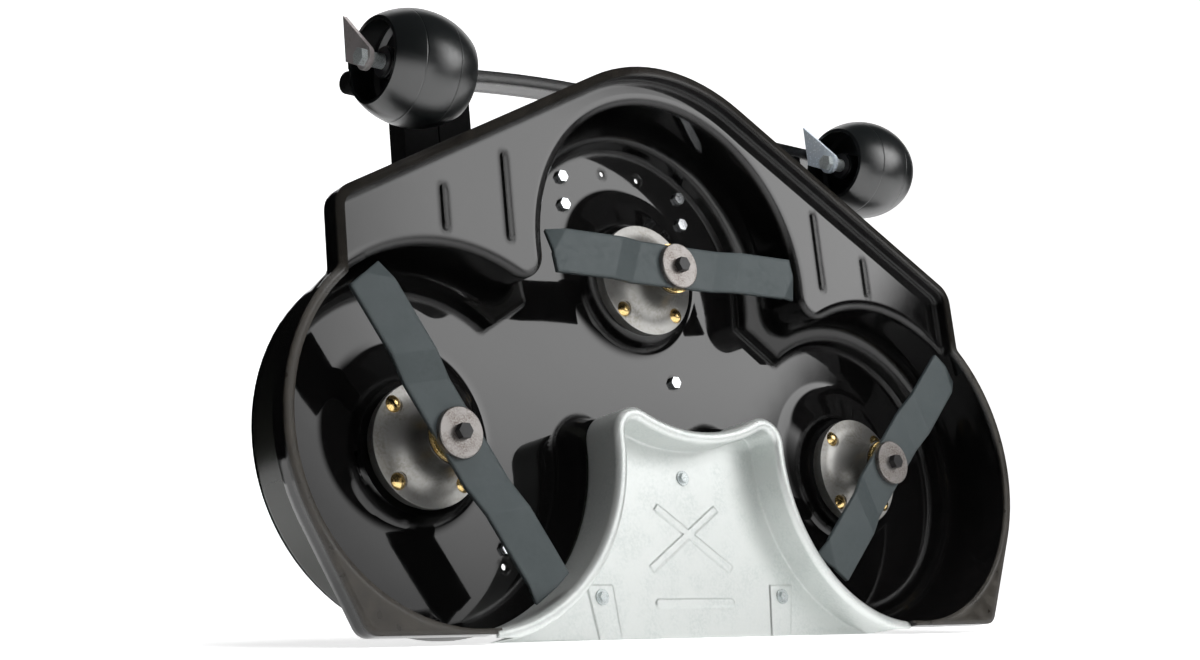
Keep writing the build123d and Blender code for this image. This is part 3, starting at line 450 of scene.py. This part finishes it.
def spindle_centre(name: str) -> tuple[float, float]:
    """Find a spindle on the deck.

    Args:
        name: Which of the three spindles.

    Returns:
        Its (u, v).
    """
    joint = next(j for j in frame["joints"] if j["name"] == f"spindle_{name}_spin")
    arm = Vector(joint["pos_m"]) - AXES.origin
    return (arm.dot(AXES.across), arm.dot(AXES.ahead))


def roller_offset() -> float:
    """Return how far to the side the rollers turn."""
    return next(abs(j["pos_m"][0]) for j in frame["joints"] if j["name"] == "roller_left_spin")


ROLLER_U = roller_offset()
PLACE = DeckPlace()
SOFT_EDGE = SoftEdge()
PATCHES = Patches()
RINGS = Rings()
PRESSED_LEAN = PressedLean()


@dataclass
class Surface:
    """The state of a finish while its layers are laid on."""

    net: Net
    place: dict[str, Socket]
    patches: dict[str, Socket]
    edge: Socket
    normal: Socket
    colour: Value
    roughness: Value
    height: Optional[Socket] = None

    def cover(self, mask: Value, colour: Colour, roughness: float) -> None:
        """Lay another finish over the surface where the mask is 1."""
        self.colour = self.net.mix(mask, self.colour, colour)
        self.roughness = self.net.blend(mask, self.roughness, roughness)

    def raise_by(self, height: Socket) -> None:
        """Add a height in metres to the relief."""
        self.height = height if self.height is None else self.net.math("ADD", self.height, height)

    def lean(self, tilt: Socket) -> None:
        """Tilt the surface's normal by a vector."""
        leaned = self.net.vector("ADD", self.normal, tilt).outputs[0]
        self.normal = self.net.vector("NORMALIZE", leaned).outputs[0]


Layer = Callable[[Surface], None]


@dataclass(frozen=True)
class Finish:
    """One finish of the deck, from its colour down to its fine relief."""

    name: str
    tone: Colour
    drift: Colour
    roughness: tuple[float, float]
    metallic: float = 0.0
    specular: float = 0.5
    patch_size: float = 0.08
    grain: Grain = Grain.PEEL
    grain_size: float = 0.001
    grain_depth: float = 0.00001
    edge_radius: float = 0.0008
    edge_tone: Optional[Colour] = None
    edge_share: float = 0.0
    edge_breakup: tuple[float, float] = (0.2, 0.6)
    edge_roughness: float = 0.4
    centre: tuple[float, float] = (0.0, 0.0)
    layers: tuple[Layer, ...] = ()

    def material(self) -> bpy.types.Material:
        """Find the finish's material, or make it on first use.

        Returns:
            The material.
        """
        title = f"finish_{self.name}"
        found = bpy.data.materials.get(title)
        if found:
            return found
        material = bpy.data.materials.new(title)
        material.use_nodes = True
        net = Net(material.node_tree)
        shader = net.add("BsdfPrincipled", {"Metallic": self.metallic, "Specular IOR Level": self.specular})
        out = net.add("OutputMaterial")
        net.feed(out.inputs["Surface"], shader.outputs[0])
        place = PLACE.place(net)
        patches = PATCHES.place(net, Place=place["Place"], Size=self.patch_size)
        edge = SOFT_EDGE.place(net, Radius=self.edge_radius)
        surface = Surface(
            net, place, patches, edge["Edge"], edge["Normal"], self.tone, self.roughness[0]
        )
        self.lay(surface)
        net.feed(shader.inputs["Base Color"], surface.colour)
        net.feed(shader.inputs["Roughness"], surface.roughness)
        bump = net.add("Bump", {"Normal": surface.normal, "Distance": 1.0, "Strength": 1.0})
        net.feed(bump.inputs["Height"], surface.height)
        net.feed(shader.inputs["Normal"], bump.outputs[0])
        return material

    def lay(self, surface: Surface) -> None:
        """Lay colour drift, grain, a second tone on the edges and any further layers.

        Args:
            surface: The surface, still in its plain colour.
        """
        net = surface.net
        fine = surface.patches["Fine"]
        broken = net.math("MULTIPLY", surface.patches["Mask"], fine)
        surface.colour = net.mix(broken, self.tone, self.drift)
        surface.roughness = net.span(fine, *self.roughness)
        surface.raise_by(self.relief(surface))
        if self.edge_tone is not None:
            # a second tone on the edges, broken up
            edged = net.times(surface.edge, net.step(fine, *self.edge_breakup), self.edge_share)
            surface.cover(edged, self.edge_tone, self.edge_roughness)
        for layer in self.layers:
            layer(surface)

    def relief(self, surface: Surface) -> Socket:
        """Make the finish's own grain.

        Args:
            surface: The surface that it lies on.

        Returns:
            Its height in metres.
        """
        net = surface.net
        where = surface.place["Place"]
        if self.grain is Grain.TURNED:
            rings = RINGS.place(net, Place=where, Centre=(*self.centre, 0.0), Pitch=self.grain_size)
            return net.math("MULTIPLY", rings["Height"], self.grain_depth)
        if self.grain is Grain.ROLLED:
            where = net.vector("MULTIPLY", where, ROLLED_STRETCH).outputs[0]
        raw = net.noise(where, self.grain_size, GRAIN_DETAIL[self.grain])
        return net.math("MULTIPLY", raw, self.grain_depth)


@dataclass(frozen=True)
class RimWear:
    """Paint rubbed to a dull brown grey on the rim's near face, less along the front."""

    depths: tuple[float, float] = (0.0035, 0.0005)
    breakup: tuple[float, float] = (0.6, 1.0)
    front: tuple[float, float] = (0.11, 0.17)
    front_share: float = 0.3
    tone: Colour = (0.046, 0.040, 0.032)
    roughness: float = 0.42

    def __call__(self, surface: Surface) -> None:
        """Rub the rim.

        Args:
            surface: The painted surface.
        """
        net = surface.net
        near = net.step(surface.place["W"], *self.depths)
        rubbed = net.span(surface.patches["Fine"], *self.breakup)
        front = net.span(net.step(surface.place["V"], *self.front), 1.0, self.front_share)
        surface.cover(net.times(near, net.times(rubbed, front)), self.tone, self.roughness)


@dataclass(frozen=True)
class PressedForm:
    """The soft forms of the pressing and the slow wave of its sheet."""

    wave_size: float = 0.075
    wave_depth: float = 0.00022

    def __call__(self, surface: Surface) -> None:
        """Lean the normal and wave the sheet.

        Args:
            surface: The painted surface.
        """
        net = surface.net
        surface.lean(PRESSED_LEAN.place(net, Place=surface.place["Place"])["Lean"])
        wave = net.noise(surface.place["Place"], self.wave_size, 1.0)
        surface.raise_by(net.math("MULTIPLY", wave, self.wave_depth))


@dataclass(frozen=True)
class OuterWallPaintedLight:
    """Duller paint on the outside of the side walls, with a lighter tone fading in toward the rear, the
    bottom as the deck stands, that is painted light from below.
    """

    depths: tuple[float, float] = (0.0215, 0.0235)
    inner: tuple[float, float] = (0.1961, 0.1969)
    outer: tuple[float, float] = (0.2035, 0.2015)
    rear: tuple[float, float] = (0.10, -0.12)
    tone: Colour = (0.030, 0.032, 0.026)
    roughness: float = 0.34

    def __call__(self, surface: Surface) -> None:
        """Dull both walls and paint light on them toward the rear.

        Args:
            surface: The painted surface.
        """
        net = surface.net
        deep = net.step(surface.place["W"], *self.depths)
        rear = net.step(surface.place["V"], *self.rear)
        for name in SIDES:
            centre = (*spindle_centre(name), 0.0)
            radius = RINGS.place(net, Place=surface.place["Place"], Centre=centre)["Radius"]
            wall = net.times(net.step(radius, *self.inner), deep, net.step(radius, *self.outer))
            # painted light: the lighter tone fades in toward the rear, the bottom as the deck stands
            surface.cover(net.times(wall, rear), self.tone, self.roughness)


@dataclass(frozen=True)
class PartingLines:
    """The two parting lines moulded round a roller."""

    half_gap: float = 0.021
    half_width: float = 0.0011
    depth: float = 0.0003

    def __call__(self, surface: Surface) -> None:
        """Groove the lines.

        Args:
            surface: The roller's surface.
        """
        net = surface.net
        out = net.math("SUBTRACT", net.math("ABSOLUTE", surface.place["U"]), ROLLER_U)
        gap = net.math("ABSOLUTE", net.math("SUBTRACT", net.math("ABSOLUTE", out), self.half_gap))
        surface.raise_by(net.math("MULTIPLY", net.step(gap, 0.0, self.half_width), self.depth))


DECK_PAINT = Finish(
    "deck_paint", (0.0042, 0.0041, 0.0042), (0.0065, 0.006, 0.006), (0.035, 0.065), patch_size=0.16,
    grain_size=0.006, grain_depth=0.000006, edge_radius=0.009,
    layers=(PressedForm(), OuterWallPaintedLight(), RimWear()),
)
PLUG_ZINC = Finish(
    "plug_zinc", (0.69, 0.715, 0.70), (0.62, 0.655, 0.64), (0.40, 0.50), metallic=0.68, patch_size=0.03,
    grain=Grain.CAST, grain_size=0.0022, grain_depth=0.00003, edge_radius=0.004,
)
BRIGHT_ZINC = Finish(
    "bright_zinc", (0.78, 0.80, 0.82), (0.66, 0.69, 0.72), (0.20, 0.34), metallic=1.0, patch_size=0.008,
    grain=Grain.CAST, grain_size=0.0008, grain_depth=0.00002, edge_radius=0.0006,
)
DULL_ZINC = Finish(
    "dull_zinc", (0.58, 0.62, 0.62), (0.46, 0.50, 0.51), (0.24, 0.36), metallic=0.4, patch_size=0.008,
    grain=Grain.CAST, grain_size=0.0008, grain_depth=0.00001, edge_radius=0.0008,
)
YELLOW_ZINC = Finish(
    "yellow_zinc", (0.80, 0.60, 0.27), (0.72, 0.46, 0.16), (0.18, 0.34), metallic=1.0, patch_size=0.010,
    grain=Grain.CAST, grain_size=0.0010, grain_depth=0.00002, edge_radius=0.0006,
)
BLADE_STEEL = Finish(
    "blade_steel", (0.052, 0.065, 0.068), (0.067, 0.081, 0.084), (0.46, 0.58), metallic=0.2,
    patch_size=0.05, grain=Grain.ROLLED, grain_size=0.0014, grain_depth=0.00003, edge_radius=0.0045,
)
# The washer's edges take a darker tone.
WASHER_STEEL = Finish(
    "washer_steel", (0.27, 0.255, 0.245), (0.13, 0.105, 0.09), (0.34, 0.48), metallic=0.85, patch_size=0.018,
    grain=Grain.CAST, grain_size=0.0011, grain_depth=0.00004, edge_radius=0.0009,
    edge_tone=(0.05, 0.045, 0.042), edge_share=0.8,
)
BLACK_STEEL = Finish(
    "black_steel", (0.012, 0.012, 0.013), (0.022, 0.021, 0.021), (0.30, 0.44), metallic=0.3,
    patch_size=0.01, grain=Grain.CAST, grain_size=0.0009, grain_depth=0.00002, edge_radius=0.0008,
)
BARE_STEEL = Finish(
    "bare_steel", (0.52, 0.52, 0.52), (0.42, 0.42, 0.42), (0.24, 0.38), metallic=1.0, patch_size=0.02,
    grain=Grain.CAST, grain_size=0.0012, grain_depth=0.00002,
)
FRAME_PAINT = Finish(
    "frame_paint", (0.004, 0.004, 0.0042), (0.006, 0.006, 0.0062), (0.16, 0.24), patch_size=0.07,
    grain_size=0.004, grain_depth=0.000006, edge_radius=0.009, specular=0.75,
)
ARM_PAINT = Finish(
    "arm_paint", (0.003, 0.003, 0.0032), (0.005, 0.005, 0.005), (0.62, 0.75), patch_size=0.07,
    grain_size=0.003, grain_depth=0.00003, edge_radius=0.0018, specular=0.08,
)
ROLLER_PLASTIC = Finish(
    "roller_plastic", (0.0035, 0.0046, 0.005), (0.005, 0.0062, 0.0066), (0.28, 0.34), patch_size=0.05,
    grain=Grain.MOULDED, grain_size=0.004, grain_depth=0.000001, edge_radius=0.0008, specular=1.0,
    layers=(PartingLines(),),
)
BUSH_PLASTIC = Finish(
    "bush_plastic", (0.016, 0.016, 0.018), (0.024, 0.024, 0.026), (0.3, 0.42), patch_size=0.02,
    grain=Grain.MOULDED, grain_size=0.001, grain_depth=0.00002,
)
EAR_STEEL = Finish(
    "ear_steel", (0.47, 0.43, 0.43), (0.31, 0.28, 0.27), (0.28, 0.42), metallic=0.3, patch_size=0.03,
    grain=Grain.ROLLED, grain_size=0.0016, grain_depth=0.00003, edge_radius=0.0008,
    edge_tone=(0.45, 0.44, 0.43), edge_share=0.6,
)
EAR_ZINC = Finish(
    "ear_zinc", (0.72, 0.81, 0.91), (0.80, 0.85, 0.90), (0.16, 0.30), metallic=0.2, patch_size=0.03,
    grain=Grain.ROLLED, grain_size=0.0018, grain_depth=0.00003, edge_radius=0.0008,
)
BELT_RUBBER = Finish(
    "belt_rubber", (0.018, 0.018, 0.018), (0.03, 0.029, 0.028), (0.6, 0.8), patch_size=0.03,
    grain=Grain.MOULDED, grain_size=0.0008, grain_depth=0.00005,
)
COVER_PLASTIC = Finish(
    "cover_plastic", (0.012, 0.012, 0.013), (0.018, 0.018, 0.019), (0.42, 0.56), patch_size=0.05,
    grain=Grain.MOULDED, grain_size=0.0007, grain_depth=0.00006, edge_radius=0.0015,
)
PULLEY_ZINC = Finish(
    "pulley_zinc", (0.56, 0.57, 0.57), (0.47, 0.48, 0.49), (0.26, 0.4), metallic=1.0, patch_size=0.03,
    grain=Grain.CAST, grain_size=0.0015, grain_depth=0.00003, edge_radius=0.001,
)


@dataclass(frozen=True)
class NeckPaintedDark:
    """Painted dark reflection in a housing's throat: the casting's colour darkens toward its neck."""

    centre: tuple[float, float]
    reach: tuple[float, float] = (0.043, 0.024)
    share: float = 0.85
    tone: Colour = (0.045, 0.044, 0.038)
    roughness: float = 0.42

    def __call__(self, surface: Surface) -> None:
        """Paint the dark reflection onto the casting toward its neck.

        Args:
            surface: The casting's surface.
        """
        net = surface.net
        ring = RINGS.place(net, Place=surface.place["Place"], Centre=(*self.centre, 0.0))
        # painted dark reflection, growing toward the neck
        scale = net.times(net.step(ring["Radius"], *self.reach), self.share)
        surface.cover(scale, self.tone, self.roughness)


def cast_finish(name: str, centre: tuple[float, float]) -> Finish:
    """Give one spindle housing its turned raw casting.

    Args:
        name: The spindle's name.
        centre: The (u, v) that it was turned about.

    Returns:
        The finish.
    """
    return Finish(
        f"raw_casting_{name}", (0.345, 0.34, 0.327), (0.25, 0.237, 0.211), (0.38, 0.46), metallic=0.7,
        patch_size=0.03, grain=Grain.TURNED, grain_size=0.0011, grain_depth=0.000006, edge_radius=0.001,
        centre=centre, layers=(NeckPaintedDark(centre),),
    )


def dress(node: str, finish: Finish) -> None:
    """Give a carried-over piece its finish.

    Args:
        node: The piece's name in the frame.
        finish: The finish that covers it.
    """
    piece = frame["nodes"][node]
    piece.data.materials.clear()
    piece.data.materials.append(finish.material())
    LOG.info("%s: %s", node, finish.name)


@dataclass(frozen=True)
class RearWall:
    """The lowest stretch of a side chamber's wall, from the rim down to the bend at its foot."""

    side: str
    radius: float = 0.1951
    sheet: float = 0.0027
    bend_radius: float = 0.014
    top: float = 0.0005
    bend_depth: float = 0.0721
    bend: float = 90.0
    bend_steps: int = 6
    reach: tuple[float, float] = (-11.0, 13.0)
    notch: tuple[float, float] = (-6.0, 0.054)
    steps: int = 24
    crease: float = 30.0

    def profile(self, top: float) -> list[tuple[float, float]]:
        """Draw the sheet's section.

        Args:
            top: The depth that it starts from.

        Returns:
            The section as (radius, depth), inner face first.
        """
        turns = [math.radians(self.bend * i / self.bend_steps) for i in range(self.bend_steps + 1)]
        hub = self.radius - self.bend_radius
        faces = []
        for grow in (0.0, self.sheet):
            bow = self.bend_radius + grow
            foot = [(hub + bow * math.cos(a), self.bend_depth + bow * math.sin(a)) for a in turns]
            faces.append([(self.radius + grow, top), *foot])
        return faces[0] + faces[1][::-1]

    def points(self) -> list[Vector]:
        """Carry the section round the chamber.

        Returns:
            The points in the row frame, section by section.
        """
        centre = spindle_centre(self.side)
        outward = math.copysign(1.0, centre[0])
        low, high = self.reach
        points = []
        for i in range(self.steps + 1):
            angle = low + (high - low) * i / self.steps
            turn = math.radians(angle)
            for radius, depth in self.profile(self.notch[1] if angle < self.notch[0] else self.top):
                u = centre[0] + outward * radius * math.sin(turn)
                points.append(AXES.point(u, centre[1] - radius * math.cos(turn), depth))
        return points

    def faces(self) -> list[tuple[int, ...]]:
        """Join the sections into a closed sheet.

        Returns:
            The faces, turned outward.
        """
        count = len(self.profile(self.top))
        last = self.steps * count
        faces = []
        for start in range(0, last, count):
            for j in range(count):
                a, b = start + j, start + (j + 1) % count
                faces.append((a, b, b + count, a + count))
        faces.append(tuple(reversed(range(count))))
        faces.append(tuple(range(last, last + count)))
        return faces if self.side == "left" else [face[::-1] for face in faces]

    def build(self, finish: Finish) -> None:
        """Bend the sheet round its chamber and fix it to the deck.

        Args:
            finish: The finish that covers it.
        """
        mesh = bpy.data.meshes.new(f"rear_wall_{self.side}")
        mesh.from_pydata(self.points(), [], self.faces())
        mesh.shade_smooth()
        mesh.set_sharp_from_angle(angle=math.radians(self.crease))
        mesh.materials.append(finish.material())
        piece = bpy.data.objects.new(mesh.name, mesh)
        bpy.context.scene.collection.objects.link(piece)
        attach(piece, "deck")
        LOG.info("%s: %s", mesh.name, finish.name)


@dataclass
class PressedDeck:
    """The pressed shell, its rear plug and what is bolted through the roof."""

    shell: Finish = DECK_PAINT
    plug: Finish = PLUG_ZINC
    hardware: Finish = BRIGHT_ZINC

    def build(self) -> None:
        """Dress the shell, the plug and their hardware."""
        dress("deck_shell", self.shell)
        for side in SIDES:
            RearWall(side).build(self.shell)
        dress("mulch_plug", self.plug)
        dress("plug_screws", DULL_ZINC)
        for node in ("deck_bolts", "deck_nuts", "housing_nuts"):
            dress(node, self.hardware)


@dataclass
class Spindle:
    """One spindle with its housing, blade and pulley."""

    name: str

    def build(self) -> None:
        """Dress every piece of the spindle."""
        dress(f"housing_{self.name}", cast_finish(self.name, spindle_centre(self.name)))
        plain = {
            "collar": YELLOW_ZINC,
            "bearings": BARE_STEEL,
            "shaft": BARE_STEEL,
            "blade": BLADE_STEEL,
            "washer": WASHER_STEEL,
            "blade_bolt": BLACK_STEEL,
            "pulley": PULLEY_ZINC,
            "spindle_nut": BRIGHT_ZINC,
        }
        for piece, finish in plain.items():
            dress(f"{piece}_{self.name}", finish)


@dataclass
class BeltDrive:
    """The belt, its idler, keeper and covers on top of the deck."""

    def build(self) -> None:
        """Dress the belt drive."""
        dress("v_belt", BELT_RUBBER)
        dress("idler_plate", PULLEY_ZINC)
        dress("idler_pulley", PULLEY_ZINC)
        dress("belt_keeper", FRAME_PAINT)
        for side in SIDES:
            dress(f"belt_cover_{side}", COVER_PLASTIC)


@dataclass
class TopFrame:
    """The rails, feet and bars welded to the top of the deck."""

    def build(self) -> None:
        """Dress the frame."""
        for node in ("hitch_bar", "front_feet", "rear_feet", "cross_tube"):
            dress(node, FRAME_PAINT)
        for side in SIDES:
            dress(f"rail_{side}", FRAME_PAINT)
            dress(f"carrier_arms_{side}", ARM_PAINT)


@dataclass
class FrontRoller:
    """One front roller between its two ears."""

    side: str
    ears: Finish

    def build(self) -> None:
        """Dress the roller, its axle and ears."""
        dress(f"roller_{self.side}", ROLLER_PLASTIC)
        dress(f"roller_bushes_{self.side}", BUSH_PLASTIC)
        dress(f"wheel_ears_{self.side}", self.ears)
        for piece in ("axle_sleeve", "axle_bolt", "axle_nut"):
            dress(f"{piece}_{self.side}", DULL_ZINC)


@dataclass(frozen=True)
class SoftBox:
    """A large soft lamp."""

    name: str
    place: tuple[float, float, float]
    aim: tuple[float, float, float]
    size: tuple[float, float]
    power: float

    def build(self) -> bpy.types.Object:
        """Place the lamp and aim it.

        Returns:
            The lamp.
        """
        data = bpy.data.lights.new(self.name, "AREA")
        data.shape = "RECTANGLE"
        data.size, data.size_y = self.size
        data.energy = self.power
        lamp = bpy.data.objects.new(self.name, data)
        lamp.visible_glossy = False
        bpy.context.scene.collection.objects.link(lamp)
        heading = Vector(self.aim) - Vector(self.place)
        turn = heading.to_track_quat("-Z", "Y").to_matrix().to_4x4()
        lamp.matrix_world = Matrix.Translation(self.place) @ turn
        return lamp


def stage_sheet(name: str, corners: list[tuple], material: bpy.types.Material) -> bpy.types.Object:
    """Make one flat sheet of the stage.

    Args:
        name: The sheet's name.
        corners: Its four corners in order.
        material: What covers it.

    Returns:
        The sheet, in the scene.
    """
    mesh = bpy.data.meshes.new(name)
    mesh.from_pydata(corners, [], [(0, 1, 2, 3)])
    mesh.materials.append(material)
    sheet = bpy.data.objects.new(name, mesh)
    bpy.context.scene.collection.objects.link(sheet)
    return sheet


@dataclass(frozen=True)
class LightPanel:
    """A large upright panel, bright in the middle and fading to its edges."""

    name: str = "key_panel"
    place: tuple[float, float, float] = (1.30, -1.60, 1.05)
    half: tuple[float, float] = (1.25, 1.10)
    peak: float = 4.2
    full_heights: tuple[float, float] = (0.15, 0.65)
    full_left: float = -0.35
    slope: float = 1.1
    right_fade: tuple[float, float] = (0.90, 0.60)

    def build(self) -> bpy.types.Object:
        """Stand the panel up, facing the deck.

        Returns:
            The panel.
        """
        across, up = self.half
        corners = [(-across, 0, -up), (-across, 0, up), (across, 0, up), (across, 0, -up)]
        panel = stage_sheet(self.name, corners, self.glow())
        panel.location = self.place
        panel.visible_camera = False
        return panel

    def glow(self) -> bpy.types.Material:
        """Make the panel's fading glow.

        Returns:
            The material.
        """
        across, up = self.half
        low, high = self.full_heights
        material = bpy.data.materials.new(f"{self.name}_glow")
        material.use_nodes = True
        net = Net(material.node_tree)
        x, _, z = net.add("SeparateXYZ", {0: net.add("TexCoord").outputs["Object"]}).outputs
        tall = net.times(net.step(z, -up, low), net.step(z, up, high))
        slant = net.math("SUBTRACT", x, net.math("MULTIPLY", z, self.slope))
        wide = net.times(net.step(x, -across, self.full_left), net.step(slant, *self.right_fade))
        shine = net.add("Emission", {"Color": WHITE, "Strength": net.times(tall, wide, self.peak)})
        net.feed(net.add("OutputMaterial").inputs["Surface"], shine.outputs[0])
        return material


@dataclass
class Studio:
    """The pale floor, the backdrop, the lamps and the camera."""

    camera_place: tuple[float, float, float] = (-1.28950, -0.35661, -1.33675)
    heading: float = 39.513
    pitch: float = 8.588
    frame_width: float = 1200.0
    focal_pixels: float = 1712.69
    floor_half: float = 9.0
    floor_tone: Colour = (0.86, 0.86, 0.86)
    floor_glow: float = 0.75
    backdrop_y: float = 3.4
    backdrop_height: float = 7.0
    backdrop_glow: float = 1.0
    white_beyond: tuple[float, float] = (0.9, 1.7)
    boxes: tuple[SoftBox, ...] = (
        SoftBox("front_fill", (0.6, -2.2, 2.0), (0.0, 0.0, 0.3), (2.4, 1.6), 55.0),
        SoftBox("top_box", (0.1, -0.35, 2.2), (0.0, 0.0, 0.2), (1.4, 0.9), 34.0),
    )
    panel: LightPanel = LightPanel()
    flag: tuple[float, float, float, float] = (-3.4, -0.1, 1.0, 2.4)
    flag_foot: float = 0.02
    flag_tone: Colour = (0.004, 0.004, 0.004)
    room_glossy: float = 0.03
    room_diffuse: float = 0.06

    def build(self) -> None:
        """Set the stage."""
        self.set_world()
        self.set_floor()
        for box in self.boxes:
            box.build()
        self.panel.build()
        self.set_flag()
        self.set_camera()
        bpy.context.scene.view_settings.view_transform = "Standard"

    def set_flag(self) -> None:
        """Stand a black flag behind the left side, for the reflections alone."""
        left, right, y, top = self.flag
        foot = self.flag_foot
        material = bpy.data.materials.new("flag_black")
        material.use_nodes = True
        net = Net(material.node_tree)
        black = net.add("BsdfDiffuse", {"Color": self.flag_tone})
        net.feed(net.add("OutputMaterial").inputs["Surface"], black.outputs[0])
        corners = [(left, y, foot), (right, y, foot), (right, y, top), (left, y, top)]
        flag = stage_sheet("flag", corners, material)
        flag.visible_camera = flag.visible_diffuse = flag.visible_shadow = False

    def pale(self, name: str, glow: float) -> bpy.types.Material:
        """Make a pale stage material that shows white to the camera.

        Args:
            name: The material's name.
            glow: How strongly it shines near the deck, to the camera and in reflections.

        Returns:
            The material.
        """
        material = bpy.data.materials.new(name)
        material.use_nodes = True
        net = Net(material.node_tree)
        path = net.add("LightPath").outputs
        seen = net.math("MAXIMUM", path["Is Camera Ray"], path["Is Glossy Ray"])
        seen = net.math("MAXIMUM", seen, path["Is Transmission Ray"])
        where = net.add("NewGeometry").outputs["Position"]
        away = net.vector("LENGTH", where).outputs["Value"]
        level = net.span(net.step(away, *self.white_beyond), glow, 1.0)
        shine = net.add("Emission", {"Color": WHITE, "Strength": net.times(seen, level)})
        diffuse = net.add("BsdfDiffuse", {"Color": self.floor_tone})
        both = net.add("AddShader", {0: diffuse.outputs[0], 1: shine.outputs[0]})
        net.feed(net.add("OutputMaterial").inputs["Surface"], both.outputs[0])
        return material

    def set_floor(self) -> None:
        """Lay the floor and stand the backdrop behind it."""
        far = self.floor_half
        back, top = self.backdrop_y, self.backdrop_height
        floor = [(-far, -far, 0), (far, -far, 0), (far, back, 0), (-far, back, 0)]
        wall = [(-far, back, 0), (far, back, 0), (far, back, top), (-far, back, top)]
        sheets = (("floor", floor, self.floor_glow), ("backdrop", wall, self.backdrop_glow))
        for name, corners, glow in sheets:
            piece = stage_sheet(name, corners, self.pale(f"pale_{name}", glow))

    def set_world(self) -> None:
        """Fill the room with a low even light, white to the camera."""
        world = bpy.data.worlds.new("room")
        world.use_nodes = True
        net = Net(world.node_tree)
        path = net.add("LightPath").outputs
        glossy = net.math("MULTIPLY", path["Is Glossy Ray"], self.room_glossy)
        diffuse = net.math("MULTIPLY", path["Is Diffuse Ray"], self.room_diffuse)
        strength = net.math("MAXIMUM", path["Is Camera Ray"], glossy)
        strength = net.math("MAXIMUM", strength, diffuse)
        shine = net.add("Background", {"Color": WHITE, "Strength": strength})
        net.feed(net.add("OutputWorld").inputs["Surface"], shine.outputs[0])
        bpy.context.scene.world = world

    def set_camera(self) -> None:
        """Stand the camera where the photograph was taken from."""
        data = bpy.data.cameras.new("camera")
        data.sensor_fit = "HORIZONTAL"
        data.lens = data.sensor_width * self.focal_pixels / self.frame_width
        camera = bpy.data.objects.new("camera", data)
        bpy.context.scene.collection.objects.link(camera)
        turn = Matrix.Rotation(-math.radians(self.heading), 4, "Z")
        tilt = Matrix.Rotation(math.radians(90.0 + self.pitch), 4, "X")
        camera.matrix_world = Matrix.Translation(AXES.point(*self.camera_place)) @ turn @ tilt
        bpy.context.scene.camera = camera


def main() -> None:
    """Build every sub-assembly in order, then the studio."""
    logging.basicConfig(level=logging.INFO, format="%(name)s %(message)s")
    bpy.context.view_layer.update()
    PressedDeck().build()
    dress("housing_bolts", YELLOW_ZINC)
    for name in SPINDLES:
        Spindle(name).build()
    BeltDrive().build()
    TopFrame().build()
    for side, ears in zip(SIDES, (EAR_STEEL, EAR_ZINC)):
        FrontRoller(side, ears).build()
    Studio().build()


if __name__ == "__main__":
    main()
